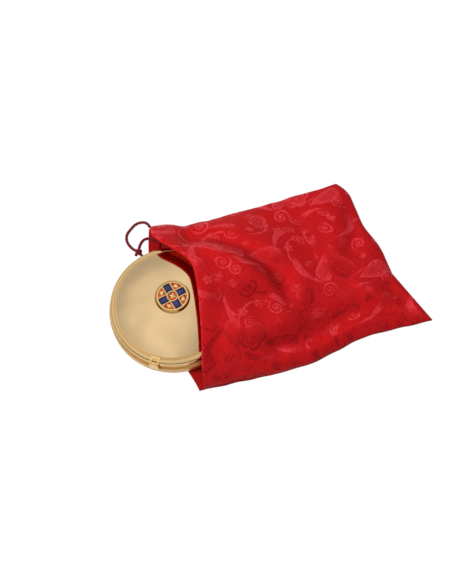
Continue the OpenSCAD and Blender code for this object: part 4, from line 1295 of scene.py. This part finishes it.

# %% [markdown]
# The lower hem shows as a narrow strip under the box. It is plain silk, painted darker than the
# brocade as shade, because it is turned from the light. It needs no sheet of its own: the faces near
# the edge of the lower sheet, found by the flat length in the UV map, get a third material slot.

# %% The lower hem, in plain silk painted darker as shade
HEM_STRIP = 11.0
HEM_SLOT = 2
HEM_WAVES = (2.4, 0.6, 1.0)
# Both hem reds are painted shade, darker than the brocade.
HEM_DARK, HEM_LIGHT = (0.24, 0.004, 0.005, 1), (0.36, 0.008, 0.009, 1)
shaded_hem_silk, hem_nodes, hem_surface = new_material("shaded_hem_silk", Roughness=0.6, Specular_IOR_Level=0.05)
hem_point = hem_nodes.add("ShaderNodeUVMap", uv_map="cloth").outputs[0]
hem_mm = hem_nodes.vector("MULTIPLY", hem_point, (UV_SPAN, UV_SPAN, 1.0))
hem_thread = hem_nodes.noise(hem_nodes.vector("MULTIPLY", hem_mm, HEM_WAVES), 1.0, detail=2.0)
hem_nodes.feed(hem_surface["Base Color"], hem_nodes.mix(hem_thread, HEM_DARK, HEM_LIGHT))
lower_cloth.data.materials.append(shaded_hem_silk)
lower_uv = lower_cloth.data.uv_layers["cloth"].data
for face in lower_cloth.data.polygons:
    from_edge = min(lower_uv[corner].uv[0] for corner in face.loop_indices) * UV_SPAN
    face.material_index = HEM_SLOT if from_edge < HEM_STRIP else 0
print("plain hem in mm:", HEM_STRIP)

# %% [markdown]
# The stage is a pale floor in soft light. The floor turns white for the eye, and partly for mirrors,
# through the light path. It keeps some of its plain shading, so a faint shadow stays under the
# bag. Close round the box, which shades the table it stands on, mirrors see the floor darker.

# %% Floor
FLOOR_HALF, FLOOR_DROP = 3000.0, 0.05
FLOOR_GREY = (0.62, 0.62, 0.62, 1)
FLOOR_GLOW, FLOOR_GLOW_SHARE = 1.06, 0.9
BOX_SHADE_FROM, BOX_SHADE_TO = 38.0, 58.0
MIRRORED_IN_SHADE, MIRRORED_OUTSIDE = 0.12, 0.55
floor_mesh = bmesh.new()
bmesh.ops.create_grid(floor_mesh, x_segments=1, y_segments=1, size=FLOOR_HALF * MM)
bmesh.ops.translate(floor_mesh, verts=floor_mesh.verts, vec=(0, 0, -FLOOR_DROP * MM))
floor_data = bpy.data.meshes.new("floor")
floor_mesh.to_mesh(floor_data)
floor_mesh.free()
floor = add_object("floor", floor_data)
floor_paint, floor_nodes, _ = new_material("floor_paint", Base_Color=FLOOR_GREY, Roughness=0.9)
plain_paint = floor_paint.node_tree.nodes["Principled BSDF"].outputs[0]
light_path = floor_nodes.add("ShaderNodeLightPath").outputs
in_mirrors = floor_nodes.math("MAXIMUM", light_path["Is Glossy Ray"], light_path["Is Transmission Ray"])
from_box = floor_nodes.vector("LENGTH", floor_nodes.add("ShaderNodeNewGeometry").outputs["Position"])
mirrored_share = floor_nodes.ramp(
    from_box, BOX_SHADE_FROM * MM, BOX_SHADE_TO * MM, MIRRORED_IN_SHADE, MIRRORED_OUTSIDE)
seen = floor_nodes.math("MULTIPLY_ADD", in_mirrors, mirrored_share, light_path["Is Camera Ray"], clamp=True)
glow = floor_nodes.add("ShaderNodeEmission")
glow.inputs["Strength"].default_value = FLOOR_GLOW
floor_mix = floor_nodes.add("ShaderNodeMixShader")
floor_nodes.feed(floor_mix.inputs[0], floor_nodes.math("MULTIPLY", seen, FLOOR_GLOW_SHARE))
floor_nodes.feed(floor_mix.inputs[1], plain_paint)
floor_nodes.feed(floor_mix.inputs[2], glow.outputs[0])
floor_nodes.feed(floor_paint.node_tree.nodes["Material Output"].inputs[0], floor_mix.outputs[0])
wear(floor, floor_paint)
print("floor in m:", 2 * FLOOR_HALF * MM)

# %% [markdown]
# Polished metal shows the room itself, so mirrors get more to see than an even grey: bright overhead,
# darker low down towards the viewer and on the right, and faintly clouded. Everything else gets one
# even level from all sides, and the camera sees plain white.

# %% Room light
EVEN_LEVEL, TOP_LEVEL = 0.33, 0.9
FAR_LOW_LEVEL, NEAR_LOW_LEVEL = 0.56, 0.2
RIGHT_SHARE = 0.6
VIEWER_EDGE, OVERHEAD_EDGE, RIGHT_EDGE = (-0.6, 0.7), (0.15, 0.85), (0.0, 0.8)
CLOUD_SCALE, CLOUD_EDGE, CLOUD_DARK, CLOUD_LIGHT = 2.2, (0.3, 0.7), 0.9, 1.06
TO_VIEWER = (math.sin(EYE_AZIMUTH), -math.cos(EYE_AZIMUTH), 0.0)
room = bpy.data.worlds.new("soft_room")
bpy.context.scene.world = room
room.use_nodes = True
room_nodes = Nodes(room.node_tree)
direction = room_nodes.vector("NORMALIZE", room_nodes.add("ShaderNodeTexCoord").outputs["Generated"])
rightward, _, upward = room_nodes.split(direction)
towards_viewer = room_nodes.vector("DOT_PRODUCT", direction, TO_VIEWER)
low_level = room_nodes.ramp(towards_viewer, *VIEWER_EDGE, FAR_LOW_LEVEL, NEAR_LOW_LEVEL)
clear_level = room_nodes.ramp(upward, *OVERHEAD_EDGE, low_level, TOP_LEVEL)
right_share = room_nodes.ramp(rightward, *RIGHT_EDGE, 1.0, RIGHT_SHARE)
sided_level = room_nodes.math("MULTIPLY", clear_level, right_share)
cloud = room_nodes.noise(direction, CLOUD_SCALE, detail=1.0)
clouding = room_nodes.ramp(cloud, *CLOUD_EDGE, CLOUD_DARK, CLOUD_LIGHT)
mirrored_level = room_nodes.math("MULTIPLY", sided_level, clouding)
room_path = room_nodes.add("ShaderNodeLightPath").outputs
level = room_nodes.ramp(room_path["Is Glossy Ray"], 0.0, 1.0, EVEN_LEVEL, mirrored_level, smooth=False)
sky = room.node_tree.nodes["Background"]
room_nodes.feed(sky.inputs["Color"], room_nodes.join(level, level, level))
white = room_nodes.add("ShaderNodeBackground")
white.inputs["Color"].default_value = (1, 1, 1, 1)
room_mix = room_nodes.add("ShaderNodeMixShader")
room_nodes.feed(room_mix.inputs[0], room_path["Is Camera Ray"])
room_nodes.feed(room_mix.inputs[1], sky.outputs[0])
room_nodes.feed(room_mix.inputs[2], white.outputs[0])
room_nodes.feed(room.node_tree.nodes["World Output"].inputs[0], room_mix.outputs[0])
print("room nodes:", len(room.node_tree.nodes))

# %% [markdown]
# One large lamp from the upper left gives the folds their light and shade. It is hidden from mirrors,
# where it would show as a hard square on the lid.

# %% Soft lamp
LAMP_PLACE, LAMP_TARGET = Vector((-440, -230, 800)), Vector((40, 30, 0))
LAMP_SIZE, LAMP_WATTS = 320, 9.2
lamp_data = bpy.data.lights.new("key_lamp", "AREA")
lamp_data.size = LAMP_SIZE * MM
lamp_data.energy = LAMP_WATTS
key_lamp = add_object("key_lamp", lamp_data)
key_lamp.location = LAMP_PLACE * MM
key_lamp.rotation_euler = (LAMP_TARGET - LAMP_PLACE).to_track_quat("-Z", "Y").to_euler()
key_lamp.visible_glossy = False
print("lamp in W:", key_lamp.data.energy)

# %% [markdown]
# Last, each soft piece is attached to the bag's body, and the pieces on the upper panel get meshes of
# their own. The CAD solids that stood in for the cloth and the cord are hidden.

# %% Ride on the bag, and hide the solids that stood in
for piece in (upper_cloth, upper_run, loop, strand, knot):
    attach(piece, "bag")
    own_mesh(piece)
for piece in (lower_cloth, lower_run):
    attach(piece, "bag")
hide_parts("bag_upper_panel", "bag_upper_casing")
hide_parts("bag_lower_panel", "bag_lower_casing")
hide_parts("cord_upper_run")
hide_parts("cord_lower_run")
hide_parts("cord_loop")
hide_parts("cord_strand")
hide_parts("cord_knot")
